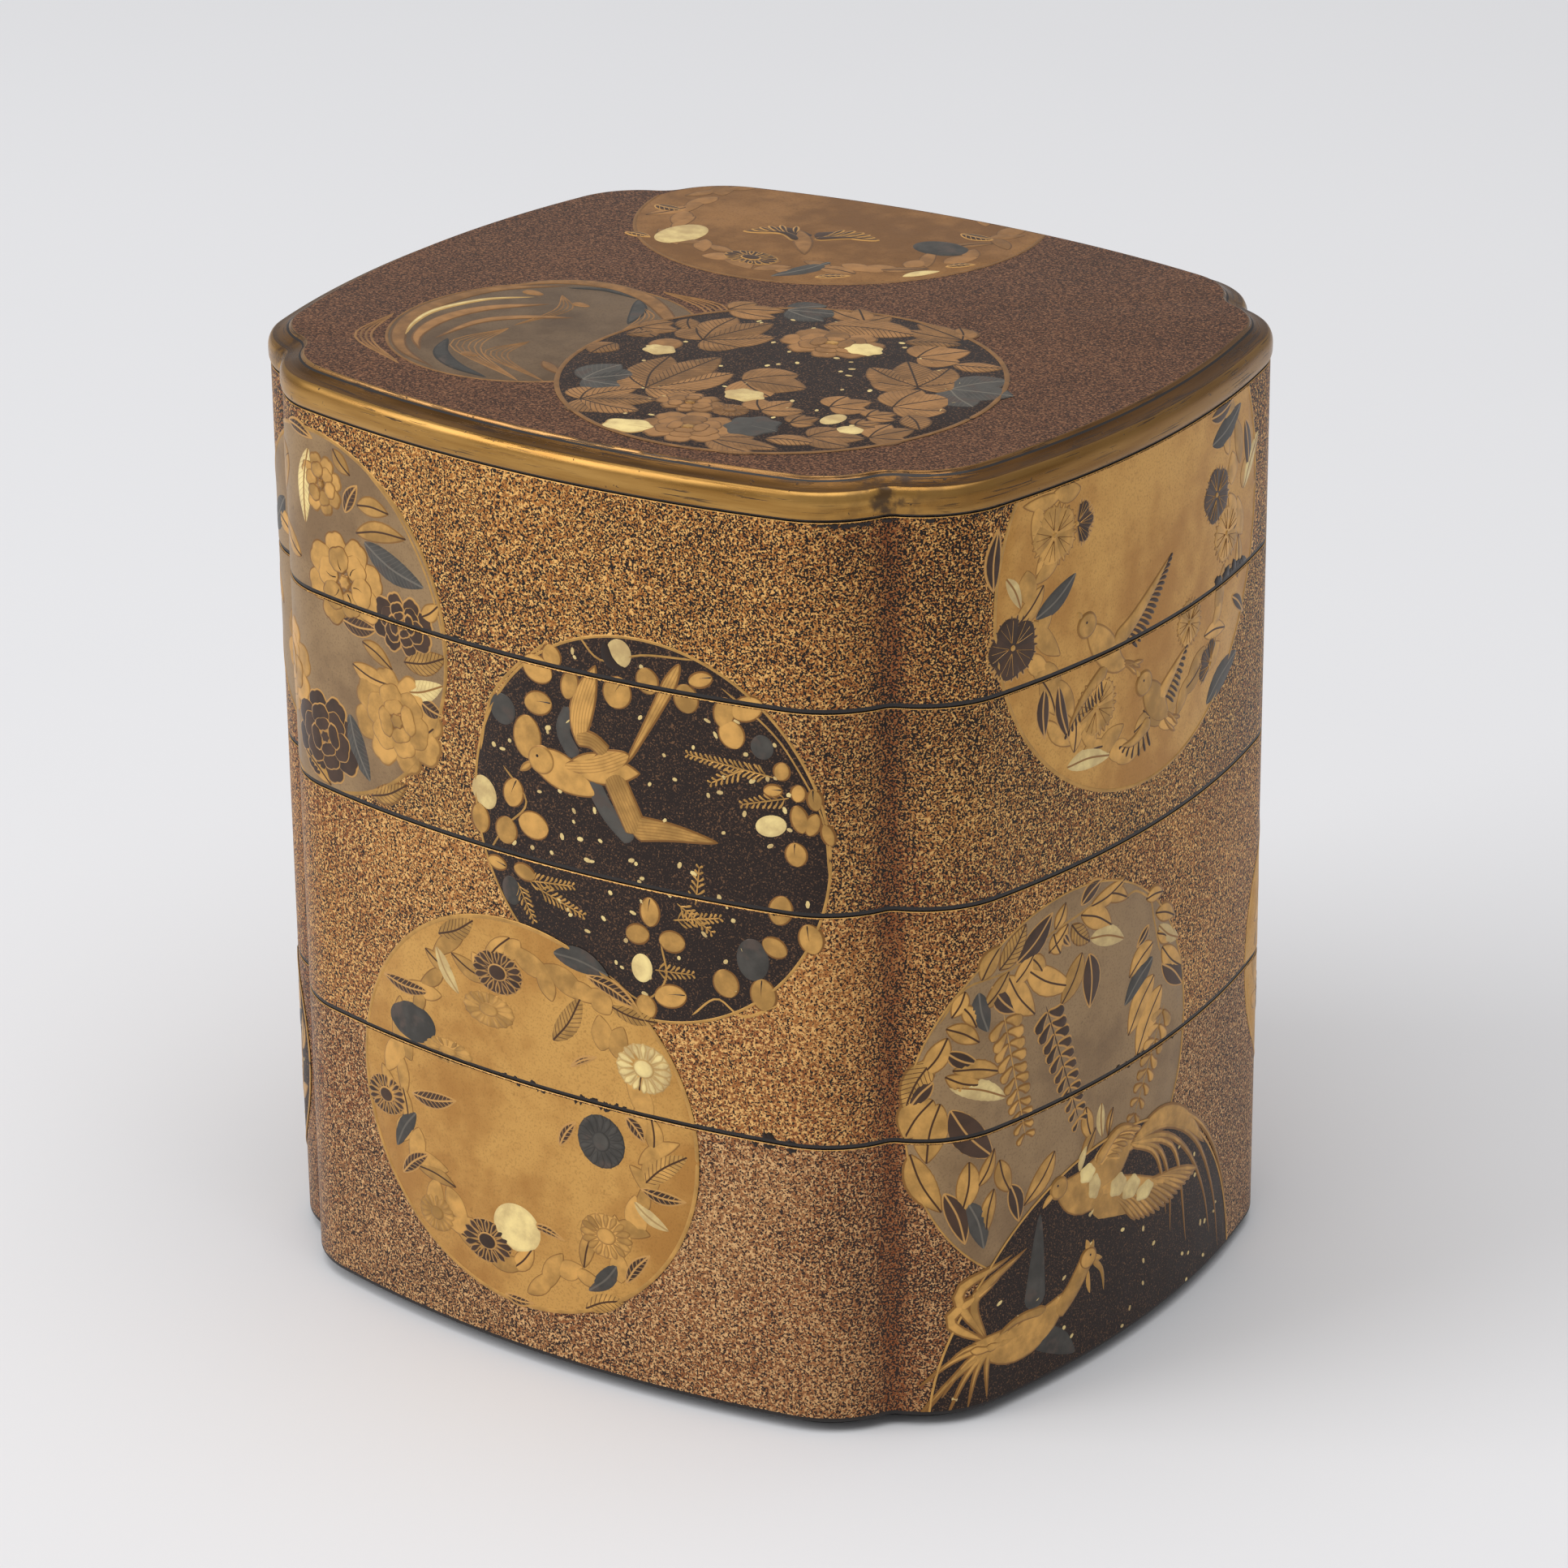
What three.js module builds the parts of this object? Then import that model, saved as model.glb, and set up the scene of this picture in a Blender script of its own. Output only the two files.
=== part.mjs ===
import * as THREE from 'three';

// A tiered lacquer box: four open tiers of one lobed plan, stacked under a lid that lifts off.
// Millimetres, +Z up, origin at the middle of the foot. The decorated fronts face -Y and +X.

// Plan of the walls, to their outer face. Each face is one shallow arc that turns in, by a tight
// rounding at both ends, to a small notch at each of the four corners.
const HALF_WIDTH = 100;
const HALF_DEPTH = 90.25;
const SIDE_RADIUS = 220;
const FRONT_RADIUS = 280;
const CORNER_RADIUS = 23.5;
const NOTCH_FILLET = 4;
const NOTCH = new THREE.Vector2(78.2, 69.4);

// Heights of the tiers' walls from the top tier down. Whole quarters of a millimetre are exact in
// 32 bits, so stacked faces meet without a gap or an overlap.
const TIERS = [
  { name: 'top_tier', height: 41.25, colour: 0x94774f },
  { name: 'second_tier', height: 45, colour: 0x937650 },
  { name: 'third_tier', height: 53, colour: 0x8f734e },
  { name: 'bottom_tier', height: 64.75, colour: 0x8c704b },
];

// Sections, as distances in from the outer face of the wall and heights.
const WALL = 4.75;
const FLOOR = 4;
const FOOT_DEPTH = 2.5;
const FOOT_WIDTH = 4.75;
const FIT = 0.5;
const EDGE = 0.5;
const LID_HEIGHT = 8.75;
const LID_PLATE = 4.5;
const LID_PANEL_INSET = 5;
const LID_PANEL_STEP = 0.75;
const LID_RIDGE_HEIGHT = 6.25;
const LID_RIDGE_INSET = 0.75;
const LID_BAND_HOLLOW = 0.25;

// Steps along each stretch of a quarter of the plan.
const FACE_STEPS = 4;
const CORNER_STEPS = 5;
const FILLET_STEPS = 4;

// The crossing of two circles that lies to the left of the way from centre A to centre B, or to
// the right of it where side is -1.
function crossing(centreA, radiusA, centreB, radiusB, side) {
  const way = centreB.clone().sub(centreA);
  const span = way.length();
  const along = (radiusA ** 2 - radiusB ** 2 + span ** 2) / (2 * span);
  const across = Math.sqrt(radiusA ** 2 - along ** 2);
  way.normalize();
  return new THREE.Vector2(
    centreA.x + way.x * along - side * way.y * across,
    centreA.y + way.y * along + side * way.x * across,
  );
}

// Points along an arc, each with the outline's outward normal: away from the centre on a swelling
// stretch (sense 1), towards it on a hollow one (sense -1).
function arc(centre, radius, start, end, steps, sense = 1) {
  return Array.from({ length: steps + 1 }, (_, step) => {
    const angle = start + ((end - start) * step) / steps;
    const ray = new THREE.Vector2(Math.cos(angle), Math.sin(angle));
    return {
      point: ray.clone().multiplyScalar(radius).add(centre),
      normal: ray.multiplyScalar(sense),
    };
  });
}

function heading(from, to) {
  return Math.atan2(to.y - from.y, to.x - from.x);
}

// The quarter of the plan in +X +Y, from the middle of the side face to the middle of the back:
// face, rounding, notch, rounding, face, each tangent to the next.
function quarterOutline() {
  const side = new THREE.Vector2(HALF_WIDTH - SIDE_RADIUS, 0);
  const back = new THREE.Vector2(0, HALF_DEPTH - FRONT_RADIUS);
  const sideRounding = crossing(side, SIDE_RADIUS - CORNER_RADIUS, NOTCH, CORNER_RADIUS, -1);
  const backRounding = crossing(back, FRONT_RADIUS - CORNER_RADIUS, NOTCH, CORNER_RADIUS, 1);
  const reach = CORNER_RADIUS + NOTCH_FILLET;
  const fillet = crossing(sideRounding, reach, backRounding, reach, -1);
  const sideEnd = heading(side, sideRounding);
  const backStart = heading(back, backRounding);
  const filletStart = heading(sideRounding, fillet);
  const filletEnd = heading(backRounding, fillet);
  return [
    ...arc(side, SIDE_RADIUS, 0, sideEnd, FACE_STEPS),
    ...arc(sideRounding, CORNER_RADIUS, sideEnd, filletStart, CORNER_STEPS).slice(1),
    ...arc(fillet, NOTCH_FILLET, filletStart + Math.PI, filletEnd + Math.PI, FILLET_STEPS, -1).slice(1),
    ...arc(backRounding, CORNER_RADIUS, filletEnd, backStart, CORNER_STEPS).slice(1),
    ...arc(back, FRONT_RADIUS, backStart, Math.PI / 2, FACE_STEPS).slice(1),
  ];
}

function mirrored(stations, x, y) {
  const flip = new THREE.Vector2(x, y);
  return stations.map(({ point, normal }) => ({
    point: point.clone().multiply(flip),
    normal: normal.clone().multiply(flip),
  }));
}

// The whole plan, counter-clockwise from the middle of the +X face.
function fullOutline() {
  const quarter = quarterOutline();
  const reversed = [...quarter].reverse();
  return [
    ...quarter.slice(0, -1),
    ...mirrored(reversed, -1, 1).slice(0, -1),
    ...mirrored(quarter, -1, -1).slice(0, -1),
    ...mirrored(reversed, 1, -1).slice(0, -1),
  ];
}

const OUTLINE = fullOutline();
const AXIS = HALF_WIDTH;

// A solid turned from a profile of [inset, height] points, then drawn out from the circle to the
// lobed plan: each point keeps its height and its inset, measured square to the wall. Points on
// the axis stay there.
function lobedSolid(profile) {
  const section = profile.map(([inset, height]) => new THREE.Vector2(HALF_WIDTH - inset, height));
  const geometry = new THREE.LatheGeometry(section, OUTLINE.length);
  const position = geometry.getAttribute('position');
  for (let index = 0; index < position.count; index += 1) {
    const [inset, height] = profile[index % profile.length];
    const station = OUTLINE[Math.floor(index / profile.length) % OUTLINE.length];
    const place = station.point.clone().addScaledVector(station.normal, -inset);
    if (inset === AXIS) place.set(0, 0);
    position.setXYZ(index, place.x, place.y, height);
  }
  geometry.computeVertexNormals();
  return geometry;
}

// The foot that stands in the mouth of the tier below, or on the table under the bottom tier,
// from its inner side out to the wall's lower edge.
function footProfile(insideHeight) {
  const outer = WALL + FIT;
  const inner = outer + FOOT_WIDTH;
  return [
    [inner, insideHeight],
    [inner, -FOOT_DEPTH],
    [outer, -FOOT_DEPTH],
    [outer, 0],
  ];
}

function tierProfile(height) {
  return [
    [AXIS, 0],
    ...footProfile(0),
    [EDGE, 0],
    [0, EDGE],
    [0, height - EDGE],
    [EDGE, height],
    [WALL, height],
    [WALL, FLOOR],
    [AXIS, FLOOR],
  ];
}

// The lid: a raised flat panel, a step down to a hollowed band, a soft ridge and a swelling edge,
// with a recessed underside and a lip that drops into the top tier.
function lidProfile() {
  const underside = LID_HEIGHT - LID_PLATE;
  const stepHeight = LID_HEIGHT - LID_PANEL_STEP;
  const bandInset = (LID_PANEL_INSET + LID_RIDGE_INSET) / 2;
  const bandHeight = (stepHeight + LID_RIDGE_HEIGHT) / 2 - LID_BAND_HOLLOW;
  return [
    [AXIS, underside],
    ...footProfile(underside),
    [LID_RIDGE_INSET, 0],
    [0.25, 1],
    [0, 2.5],
    [0, 4],
    [0.25, 5.5],
    [LID_RIDGE_INSET, LID_RIDGE_HEIGHT],
    [bandInset, bandHeight],
    [LID_PANEL_INSET - 0.25, stepHeight],
    [LID_PANEL_INSET, LID_HEIGHT - 0.25],
    [LID_PANEL_INSET + 0.5, LID_HEIGHT],
    [AXIS, LID_HEIGHT],
  ];
}

function lacquer(colour, roughness, metalness) {
  return new THREE.MeshStandardMaterial({ color: colour, roughness, metalness });
}

const box = new THREE.Group();
box.name = 'tiered_lacquer_box';

let level = FOOT_DEPTH;
for (const { name, height, colour } of [...TIERS].reverse()) {
  const tier = new THREE.Mesh(lobedSolid(tierProfile(height)), lacquer(colour, 0.35, 0.35));
  tier.name = name;
  tier.position.z = level;
  box.add(tier);
  level += height;
}

const lid = new THREE.Mesh(lobedSolid(lidProfile()), lacquer(0x705546, 0.32, 0.2));
lid.name = 'lid';
lid.position.z = level;
box.add(lid);

export default box;
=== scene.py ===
import math

import bmesh
import bpy
import numpy as np
from mathutils import Matrix, Vector


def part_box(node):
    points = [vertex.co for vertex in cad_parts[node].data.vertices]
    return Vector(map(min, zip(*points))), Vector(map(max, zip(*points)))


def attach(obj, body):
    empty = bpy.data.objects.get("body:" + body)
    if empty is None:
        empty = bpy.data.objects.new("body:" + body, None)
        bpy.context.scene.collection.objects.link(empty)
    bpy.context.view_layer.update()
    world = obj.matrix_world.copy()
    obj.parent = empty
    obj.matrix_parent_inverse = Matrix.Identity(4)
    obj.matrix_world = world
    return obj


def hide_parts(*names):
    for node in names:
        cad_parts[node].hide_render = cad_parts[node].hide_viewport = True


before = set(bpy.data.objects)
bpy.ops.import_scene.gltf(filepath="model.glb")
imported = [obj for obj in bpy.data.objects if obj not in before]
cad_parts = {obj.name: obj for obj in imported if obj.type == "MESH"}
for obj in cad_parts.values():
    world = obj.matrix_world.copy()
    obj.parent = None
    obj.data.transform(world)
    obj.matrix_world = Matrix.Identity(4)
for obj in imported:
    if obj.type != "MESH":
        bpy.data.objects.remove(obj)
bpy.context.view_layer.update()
MM = 0.001

# The view: a long lens, a little above the box and turned to its notched front corner, so that
# the wider face shows on the left and the narrower one on the right.
VIEW_TURN = math.radians(35.279)
VIEW_RISE = math.radians(22.724)
VIEW_ROLL = math.radians(-0.613)
VIEW_DISTANCE = 1282.4 * MM
VIEW_TARGET = Vector((1.7, 1.2, 106.3)) * MM
VIEW_LENS = 132.1
back = Vector((math.sin(VIEW_TURN) * math.cos(VIEW_RISE),
               -math.cos(VIEW_TURN) * math.cos(VIEW_RISE),
               math.sin(VIEW_RISE)))
level_right = Vector((math.cos(VIEW_TURN), math.sin(VIEW_TURN), 0))
level_up = level_right.cross(-back)
right = math.cos(VIEW_ROLL) * level_right + math.sin(VIEW_ROLL) * level_up
up = math.cos(VIEW_ROLL) * level_up - math.sin(VIEW_ROLL) * level_right
camera = bpy.data.objects.new("camera", bpy.data.cameras.new("camera"))
camera.data.lens = VIEW_LENS
camera.data.sensor_width = 36
camera.data.clip_end = 20
camera.matrix_world = (Matrix.Translation(VIEW_TARGET + VIEW_DISTANCE * back)
                       @ Matrix((right, up, back)).transposed().to_4x4())
bpy.context.scene.collection.objects.link(camera)
bpy.context.scene.camera = camera


class Socket:
    """One output of a node. Arithmetic with numbers or other outputs adds Math nodes."""

    def __init__(self, finish, output):
        self.finish = finish
        self.output = output

    def math(self, operation, *others):
        return self.finish.node("ShaderNodeMath", {"operation": operation},
                                dict(enumerate((self, *others))))

    def __add__(self, other):
        return self.math("ADD", other)

    def __mul__(self, other):
        return self.math("MULTIPLY", other)

    def __sub__(self, other):
        return self.math("SUBTRACT", other)

    def __rsub__(self, other):
        return self * -1 + other

    __radd__ = __add__
    __rmul__ = __mul__

    def rising(self, low, high):
        """0 below low and 1 above high, smooth between; falling where high is the lower."""
        return self.finish.node("ShaderNodeMapRange", {"interpolation_type": "SMOOTHSTEP"},
                                {0: self, 1: low, 2: high})

    def other(self, name):
        """Another output of the same node."""
        return Socket(self.finish, self.output.node.outputs[name])


class Finish:
    """A material with one Principled shader, filled in by node()."""

    def __init__(self, name):
        self.material = bpy.data.materials.new(name)
        self.material.use_nodes = True
        self.tree = self.material.node_tree
        self.tree.nodes.clear()
        self.shader = self.tree.nodes.new("ShaderNodeBsdfPrincipled")
        surface = self.tree.nodes.new("ShaderNodeOutputMaterial")
        self.tree.links.new(self.shader.outputs[0], surface.inputs[0])

    def feed(self, node, sockets):
        for key, value in sockets.items():
            if isinstance(value, Socket):
                self.tree.links.new(value.output, node.inputs[key])
            else:
                node.inputs[key].default_value = value

    def node(self, kind, settings, sockets, output=0):
        """Add a node of a type, with its settings and then its sockets' values or links."""
        node = self.tree.nodes.new(kind)
        for key, value in settings.items():
            setattr(node, key, value)
        self.feed(node, sockets)
        return Socket(self, node.outputs[output])

    def place(self):
        return self.node("ShaderNodeTexCoord", {}, {}, "Object")

    def attribute(self, name, output="Vector"):
        """What the mesh carries under a name at each point."""
        return self.node("ShaderNodeAttribute", {"attribute_name": name}, {}, output)

    def split(self, vector):
        """A vector's X, with its Y and Z under other()."""
        return self.node("ShaderNodeSeparateXYZ", {}, {0: vector})

    def noise(self, size, detail=3):
        """Soft noise, 0 to 1, whose lumps are about size millimetres across."""
        return self.node("ShaderNodeTexNoise", {}, {"Vector": self.place(), "Scale": 1 / (size * MM),
                                                    "Detail": detail})

    def mixed(self, factor, first, second):
        return self.node("ShaderNodeMix", {"data_type": "RGBA"}, {0: factor, 6: first, 7: second}, 2)

    def bumped(self, height, depth):
        """A normal bent as if height, 0 to 1, stood depth millimetres proud."""
        return self.node("ShaderNodeBump", {}, {"Height": height, "Distance": depth * MM})


def tint(red, green, blue):
    """A screen colour, 0 to 255 a channel, as the linear colour that a shader takes."""
    screen = np.array((red, green, blue)) / 255
    linear = np.where(screen < 0.04045, screen / 12.92, ((screen + 0.055) / 1.055) ** 2.4)
    return (*linear.tolist(), 1.0)


# The surface that the box stands on: one wide sheet of pale matt paper, lit softly by a wide
# window-like light from the left and one overhead, with weak even light all round.
FLOOR_REACH = 5.0
floor_mesh = bpy.data.meshes.new("floor")
floor_mesh.from_pydata([(-FLOOR_REACH, -FLOOR_REACH, 0), (FLOOR_REACH, -FLOOR_REACH, 0),
                        (FLOOR_REACH, FLOOR_REACH, 0), (-FLOOR_REACH, FLOOR_REACH, 0)],
                       [], [(0, 1, 2, 3)])
floor = bpy.data.objects.new("floor", floor_mesh)
bpy.context.scene.collection.objects.link(floor)
paper = Finish("pale_paper")
paper_tone = paper.mixed(paper.noise(300), tint(228, 228, 230), tint(231, 231, 233))
paper.feed(paper.shader, {"Base Color": paper_tone, "Roughness": 0.9, "Specular IOR Level": 0.1})
floor_mesh.materials.append(paper.material)

world = bpy.data.worlds.new("studio")
world.use_nodes = True
world.node_tree.nodes["Background"].inputs["Color"].default_value = (0.98, 0.985, 1.0, 1)
world.node_tree.nodes["Background"].inputs["Strength"].default_value = 0.4
bpy.context.scene.world = world
bpy.context.scene.view_settings.view_transform = "Standard"


def soft_light(name, side, forward, height, size, power):
    """An area light placed in metres by the view's right, its near side and height, turned to the box."""
    lamp = bpy.data.objects.new(name, bpy.data.lights.new(name, "AREA"))
    lamp.data.size = size
    lamp.data.energy = power
    near = Vector((math.sin(VIEW_TURN), -math.cos(VIEW_TURN), 0))
    lamp.location = side * level_right + forward * near + Vector((0, 0, height))
    lamp.rotation_euler = (VIEW_TARGET - lamp.location).to_track_quat("-Z", "Y").to_euler()
    bpy.context.scene.collection.objects.link(lamp)


soft_light("window", side=-4.6, forward=1.2, height=2.9, size=3.4, power=132)
soft_light("overhead", side=0.0, forward=0.5, height=3.0, size=3.0, power=56)

# The tiers: four open boxes of thin wood under many coats of lacquer, of one lobed plan. They are
# sprinkled all over with gold grains, their rims are gilt, and each foot stands in the box below.
# Lengths are in millimetres from here on. A plan's points are complex numbers, x + y i.
SIDE_RADIUS = 220
FRONT_RADIUS = 280
CORNER_RADIUS = 23.5
NOTCH_FILLET = 4
NOTCH = 78.2 + 69.4j
WALL = 4.75
FLOOR = 4
FOOT_DEPTH = 2.5
FOOT_INSET = 5.25
FOOT_WIDTH = 4.75
RELIEF_ROOM = 0.5
RIM_ROUNDING = 0.3
FOOT_ROUNDING = 0.7
# How high up a tier's wall the painted seam shade reaches.
DARK_EDGE = 1.15
plan_low, plan_high = (np.array(corner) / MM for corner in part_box("bottom_tier"))
HALF_WIDTH, HALF_DEPTH = plan_high[:2]


def crossing(centre_a, reach_a, centre_b, reach_b, side):
    """Where two circles cross, to the left of the way from a to b, or to the right where side is -1."""
    way = centre_b - centre_a
    along = (reach_a ** 2 - reach_b ** 2 + abs(way) ** 2) / (2 * abs(way))
    across = math.sqrt(reach_a ** 2 - along ** 2)
    return centre_a + way / abs(way) * (along + side * 1j * across)


def quarter_plan():
    """Points and outward normals from the middle of the +X face to the middle of the +Y one.

    Five arcs, each tangent to the next: face, rounding, hollow notch, rounding, face. The
    roundings lie inside their faces' circles and both pass through the notch's corner."""
    side = HALF_WIDTH - SIDE_RADIUS + 0j
    rear = (HALF_DEPTH - FRONT_RADIUS) * 1j
    side_turn = crossing(side, SIDE_RADIUS - CORNER_RADIUS, NOTCH, CORNER_RADIUS, -1)
    rear_turn = crossing(rear, FRONT_RADIUS - CORNER_RADIUS, NOTCH, CORNER_RADIUS, 1)
    hollow = crossing(side_turn, CORNER_RADIUS + NOTCH_FILLET, rear_turn, CORNER_RADIUS + NOTCH_FILLET, -1)
    side_end, rear_start = np.angle(side_turn - side), np.angle(rear_turn - rear)
    hollow_start, hollow_end = np.angle(hollow - side_turn), np.angle(hollow - rear_turn)
    arcs = [(side, SIDE_RADIUS, 0, side_end, 1, 2.0),
            (side_turn, CORNER_RADIUS, side_end, hollow_start, 1, 0.8),
            (hollow, NOTCH_FILLET, hollow_start + np.pi, hollow_end + np.pi, -1, 0.3),
            (rear_turn, CORNER_RADIUS, hollow_end, rear_start, 1, 0.8),
            (rear, FRONT_RADIUS, rear_start, np.pi / 2, 1, 2.0)]
    points, normals = [], []
    for centre, radius, start, end, sense, spacing in arcs:
        steps = math.ceil(abs(end - start) * radius / spacing)
        ray = np.exp(1j * np.linspace(start, end, steps, endpoint=False))
        points.append(centre + radius * ray)
        normals.append(sense * ray)
    return np.concatenate(points + [[HALF_DEPTH * 1j]]), np.concatenate(normals + [[1j]])


def whole_plan():
    """The quarter mirrored four times, counter-clockwise from the middle of the -Y face and
    closed there, with the length walked along it."""
    point, normal = quarter_plan()
    walk = [np.conj(array[::-1])[:-1] for array in (point, normal)]
    walk = [np.append(part, array[:-1]) for part, array in zip(walk, (point, normal))]
    walk = [np.append(part, -np.conj(array[::-1])[:-1]) for part, array in zip(walk, (point, normal))]
    walk = [np.append(part, -array) for part, array in zip(walk, (point, normal))]
    walked = np.append(0, np.cumsum(np.abs(np.diff(walk[0]))))
    return walk[0], walk[1], walked


PLAN_POINT, PLAN_NORMAL, PLAN_WALKED = whole_plan()
GIRTH = PLAN_WALKED[-1]
NOTCHES = np.array((NOTCH, -NOTCH, np.conj(NOTCH), -np.conj(NOTCH)))
# How far the painted shade about each notch hollow reaches: a narrow dark falloff and a wide faint one.
NOTCH_SHADE = 3.6
NOTCH_WIDE_SHADE = 24


def on_plan(walked, inset):
    """The plan's point after a walk from the middle of the front, moved square in by inset."""
    point = np.interp(walked, PLAN_WALKED, PLAN_POINT, period=GIRTH)
    normal = np.interp(walked, PLAN_WALKED, PLAN_NORMAL, period=GIRTH)
    return point - normal / np.abs(normal) * inset


def rounding(inset, height, radius, start, end, steps=5):
    """Rows [inset, height] on an arc, whose angle is measured from outward towards up."""
    angle = np.radians(np.linspace(start, end, steps))
    return [(inset - radius * math.cos(a), height + radius * math.sin(a)) for a in angle]


def dress(name, vertices, triangles, materials, indices=None, sharp=40):
    """A new piece from arrays in millimetres: a smooth mesh with an edge kept sharp where it turns
    by more than sharp degrees."""
    mesh = bpy.data.meshes.new(name)
    mesh.vertices.add(len(vertices))
    mesh.vertices.foreach_set("co", (np.asarray(vertices) * MM).ravel())
    mesh.loops.add(triangles.size)
    mesh.loops.foreach_set("vertex_index", triangles.ravel())
    mesh.polygons.add(len(triangles))
    mesh.polygons.foreach_set("loop_start", np.arange(0, triangles.size, 3))
    for material in materials:
        mesh.materials.append(material)
    if indices is not None:
        mesh.polygons.foreach_set("material_index", indices)
    mesh.update(calc_edges=True)
    mesh.validate()
    mesh.polygons.foreach_set("use_smooth", np.ones(len(mesh.polygons), bool))
    mesh.set_sharp_from_angle(angle=math.radians(sharp))
    piece = bpy.data.objects.new(name, mesh)
    bpy.context.scene.collection.objects.link(piece)
    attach(piece, "root")
    return piece


def carry(mesh, name, values):
    """Give each point of a mesh a number, or a vector where values has rows of three."""
    kind, key = ("FLOAT", "value") if values.ndim == 1 else ("FLOAT_VECTOR", "vector")
    mesh.attributes.new(name, kind, "POINT").data.foreach_set(key, values.astype(np.float32).ravel())


def lofted(name, profile, level, materials, rows_finish):
    """A closed solid: profile row [inset, height] is the plan moved in by its inset, and the first
    and last rows are points on the axis. rows_finish gives each band of rows its material."""
    rings = np.array(profile[1:-1])
    count = len(PLAN_POINT) - 1
    ring = PLAN_POINT[None, :-1] - rings[:, :1] * PLAN_NORMAL[None, :-1]
    height = np.broadcast_to(rings[:, 1:] + level, ring.shape)
    vertices = np.stack([ring.real, ring.imag, height], axis=-1).reshape(-1, 3)
    first, last = len(vertices), len(vertices) + 1
    vertices = np.vstack([vertices, (0, 0, profile[0][1] + level), (0, 0, profile[-1][1] + level)])
    here = np.arange(count)
    beside = (here + 1) % count
    bands = []
    for row in range(len(rings) - 1):
        low, high = row * count, (row + 1) * count
        bands.append(np.stack([low + here, low + beside, high + beside], 1))
        bands.append(np.stack([low + here, high + beside, high + here], 1))
    top = (len(rings) - 1) * count
    under = np.stack([np.full(count, first), beside, here], 1)
    over = np.stack([top + here, top + beside, np.full(count, last)], 1)
    index = np.concatenate([np.repeat(rows_finish[1:-1], 2 * count),
                            np.full(count, rows_finish[0]), np.full(count, rows_finish[-1])])
    piece = dress(name, vertices, np.vstack(bands + [under, over]), materials, indices=index)
    # Painted shade: a falloff about each notch hollow, kept as the notch number that the finishes read.
    away = np.abs(PLAN_POINT[:-1, None] - NOTCHES[None, :]).min(axis=1)
    shade = 0.65 * np.exp(-(away / NOTCH_SHADE) ** 2) + 0.35 * np.exp(-(away / NOTCH_WIDE_SHADE) ** 2)
    near = np.concatenate([np.tile(shade, len(rings)), [0, 0]])
    carry(piece.data, "notch", near)
    climb = np.cumsum(np.append(0, np.hypot(*np.diff(rings, axis=0).T)))
    round_trip = GIRTH / (2 * np.pi) * np.exp(2j * np.pi * PLAN_WALKED[:-1] / GIRTH)
    around = np.tile(np.stack([round_trip.real, round_trip.imag], 1), (len(rings), 1))
    strip = np.column_stack([around, np.repeat(climb, count)])
    strip = np.vstack([strip, (0, 0, 0), (0, 0, climb[-1])])
    carry(piece.data, "strip", strip)
    return piece


def sprinkled(name, coat, dim, bright, grain, cover, clouding=0.12, roughness=0.4, metal=0.3, red=None,
              side_light_and_shade=(0, 0)):
    """Lacquer sprinkled with powder: grains show where a fine noise passes a limit that soft clouds
    shift, dim or bright by a second noise, over a dark coat. Where red is given, the powder turns
    that colour in soft patches, and at the notches as painted shade in their hollows, where fewer and
    duller grains show. The pair of side amounts gives more powder, or less, on the -Y face's half
    next to +X and on the +X face, as painted light and shade on those faces. The strip's Y is 0 in
    the middle of the first and 103 in that of the second."""
    finish = Finish(name)
    fine = finish.noise(grain, 1)
    gleam = finish.noise(1.7 * grain, 1).rising(0.4, 0.66)
    clouds = finish.noise(24, 5)
    level = fine + (clouds - 0.5) * clouding + (cover - 0.5)
    if red:
        # The powder turns red in soft patches and, as painted shade, in the notch hollows, where its bright
        # grains fade and fewer show.
        notch = finish.attribute("notch", "Fac")
        dim = finish.mixed(finish.noise(38, 4).rising(0.42, 0.68) * 0.7 + notch * 0.9, dim, red)
        gleam = gleam * (1 - notch * 0.8)
        around = finish.split(finish.attribute("strip")).other("Y")
        # Painted light and shade: more powder, or less, on the -Y face's half next to +X and on the shaded
        # +X face.
        near_half = around.rising(12, 42) * around.rising(74, 60)
        level = level - notch * 0.03 + near_half * side_light_and_shade[0] + around.rising(70, 95) * side_light_and_shade[1]
    powder = finish.mixed(gleam, dim, bright)
    shown = level.rising(0.47, 0.51)
    finish.feed(finish.shader, {
        "Base Color": finish.mixed(shown, coat, powder),
        "Metallic": shown * metal,
        "Roughness": roughness + finish.noise(4, 2) * 0.1,
        "Normal": finish.bumped(shown, 0.015),
        "Coat Weight": 0.05,
        "Coat Roughness": 0.3,
        "Specular IOR Level": 0.22,
    })
    return finish.material


def plain_lacquer(name, colour, sheen, metal=0.0):
    """Polished lacquer with faint clouds of a lighter tone."""
    finish = Finish(name)
    lighter = tuple(1.6 * part for part in colour[:3]) + (1,)
    finish.feed(finish.shader, {
        "Base Color": finish.mixed(finish.noise(12), colour, lighter),
        "Roughness": finish.noise(5) * 0.15 + sheen,
        "Metallic": metal,
        "Coat Weight": 0.1,
    })
    return finish.material


# The red of the wall powder in soft patches and in the painted shade at the notches.
NOTCH_RED = tint(138, 78, 40)
GRAIN = 0.42
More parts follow.
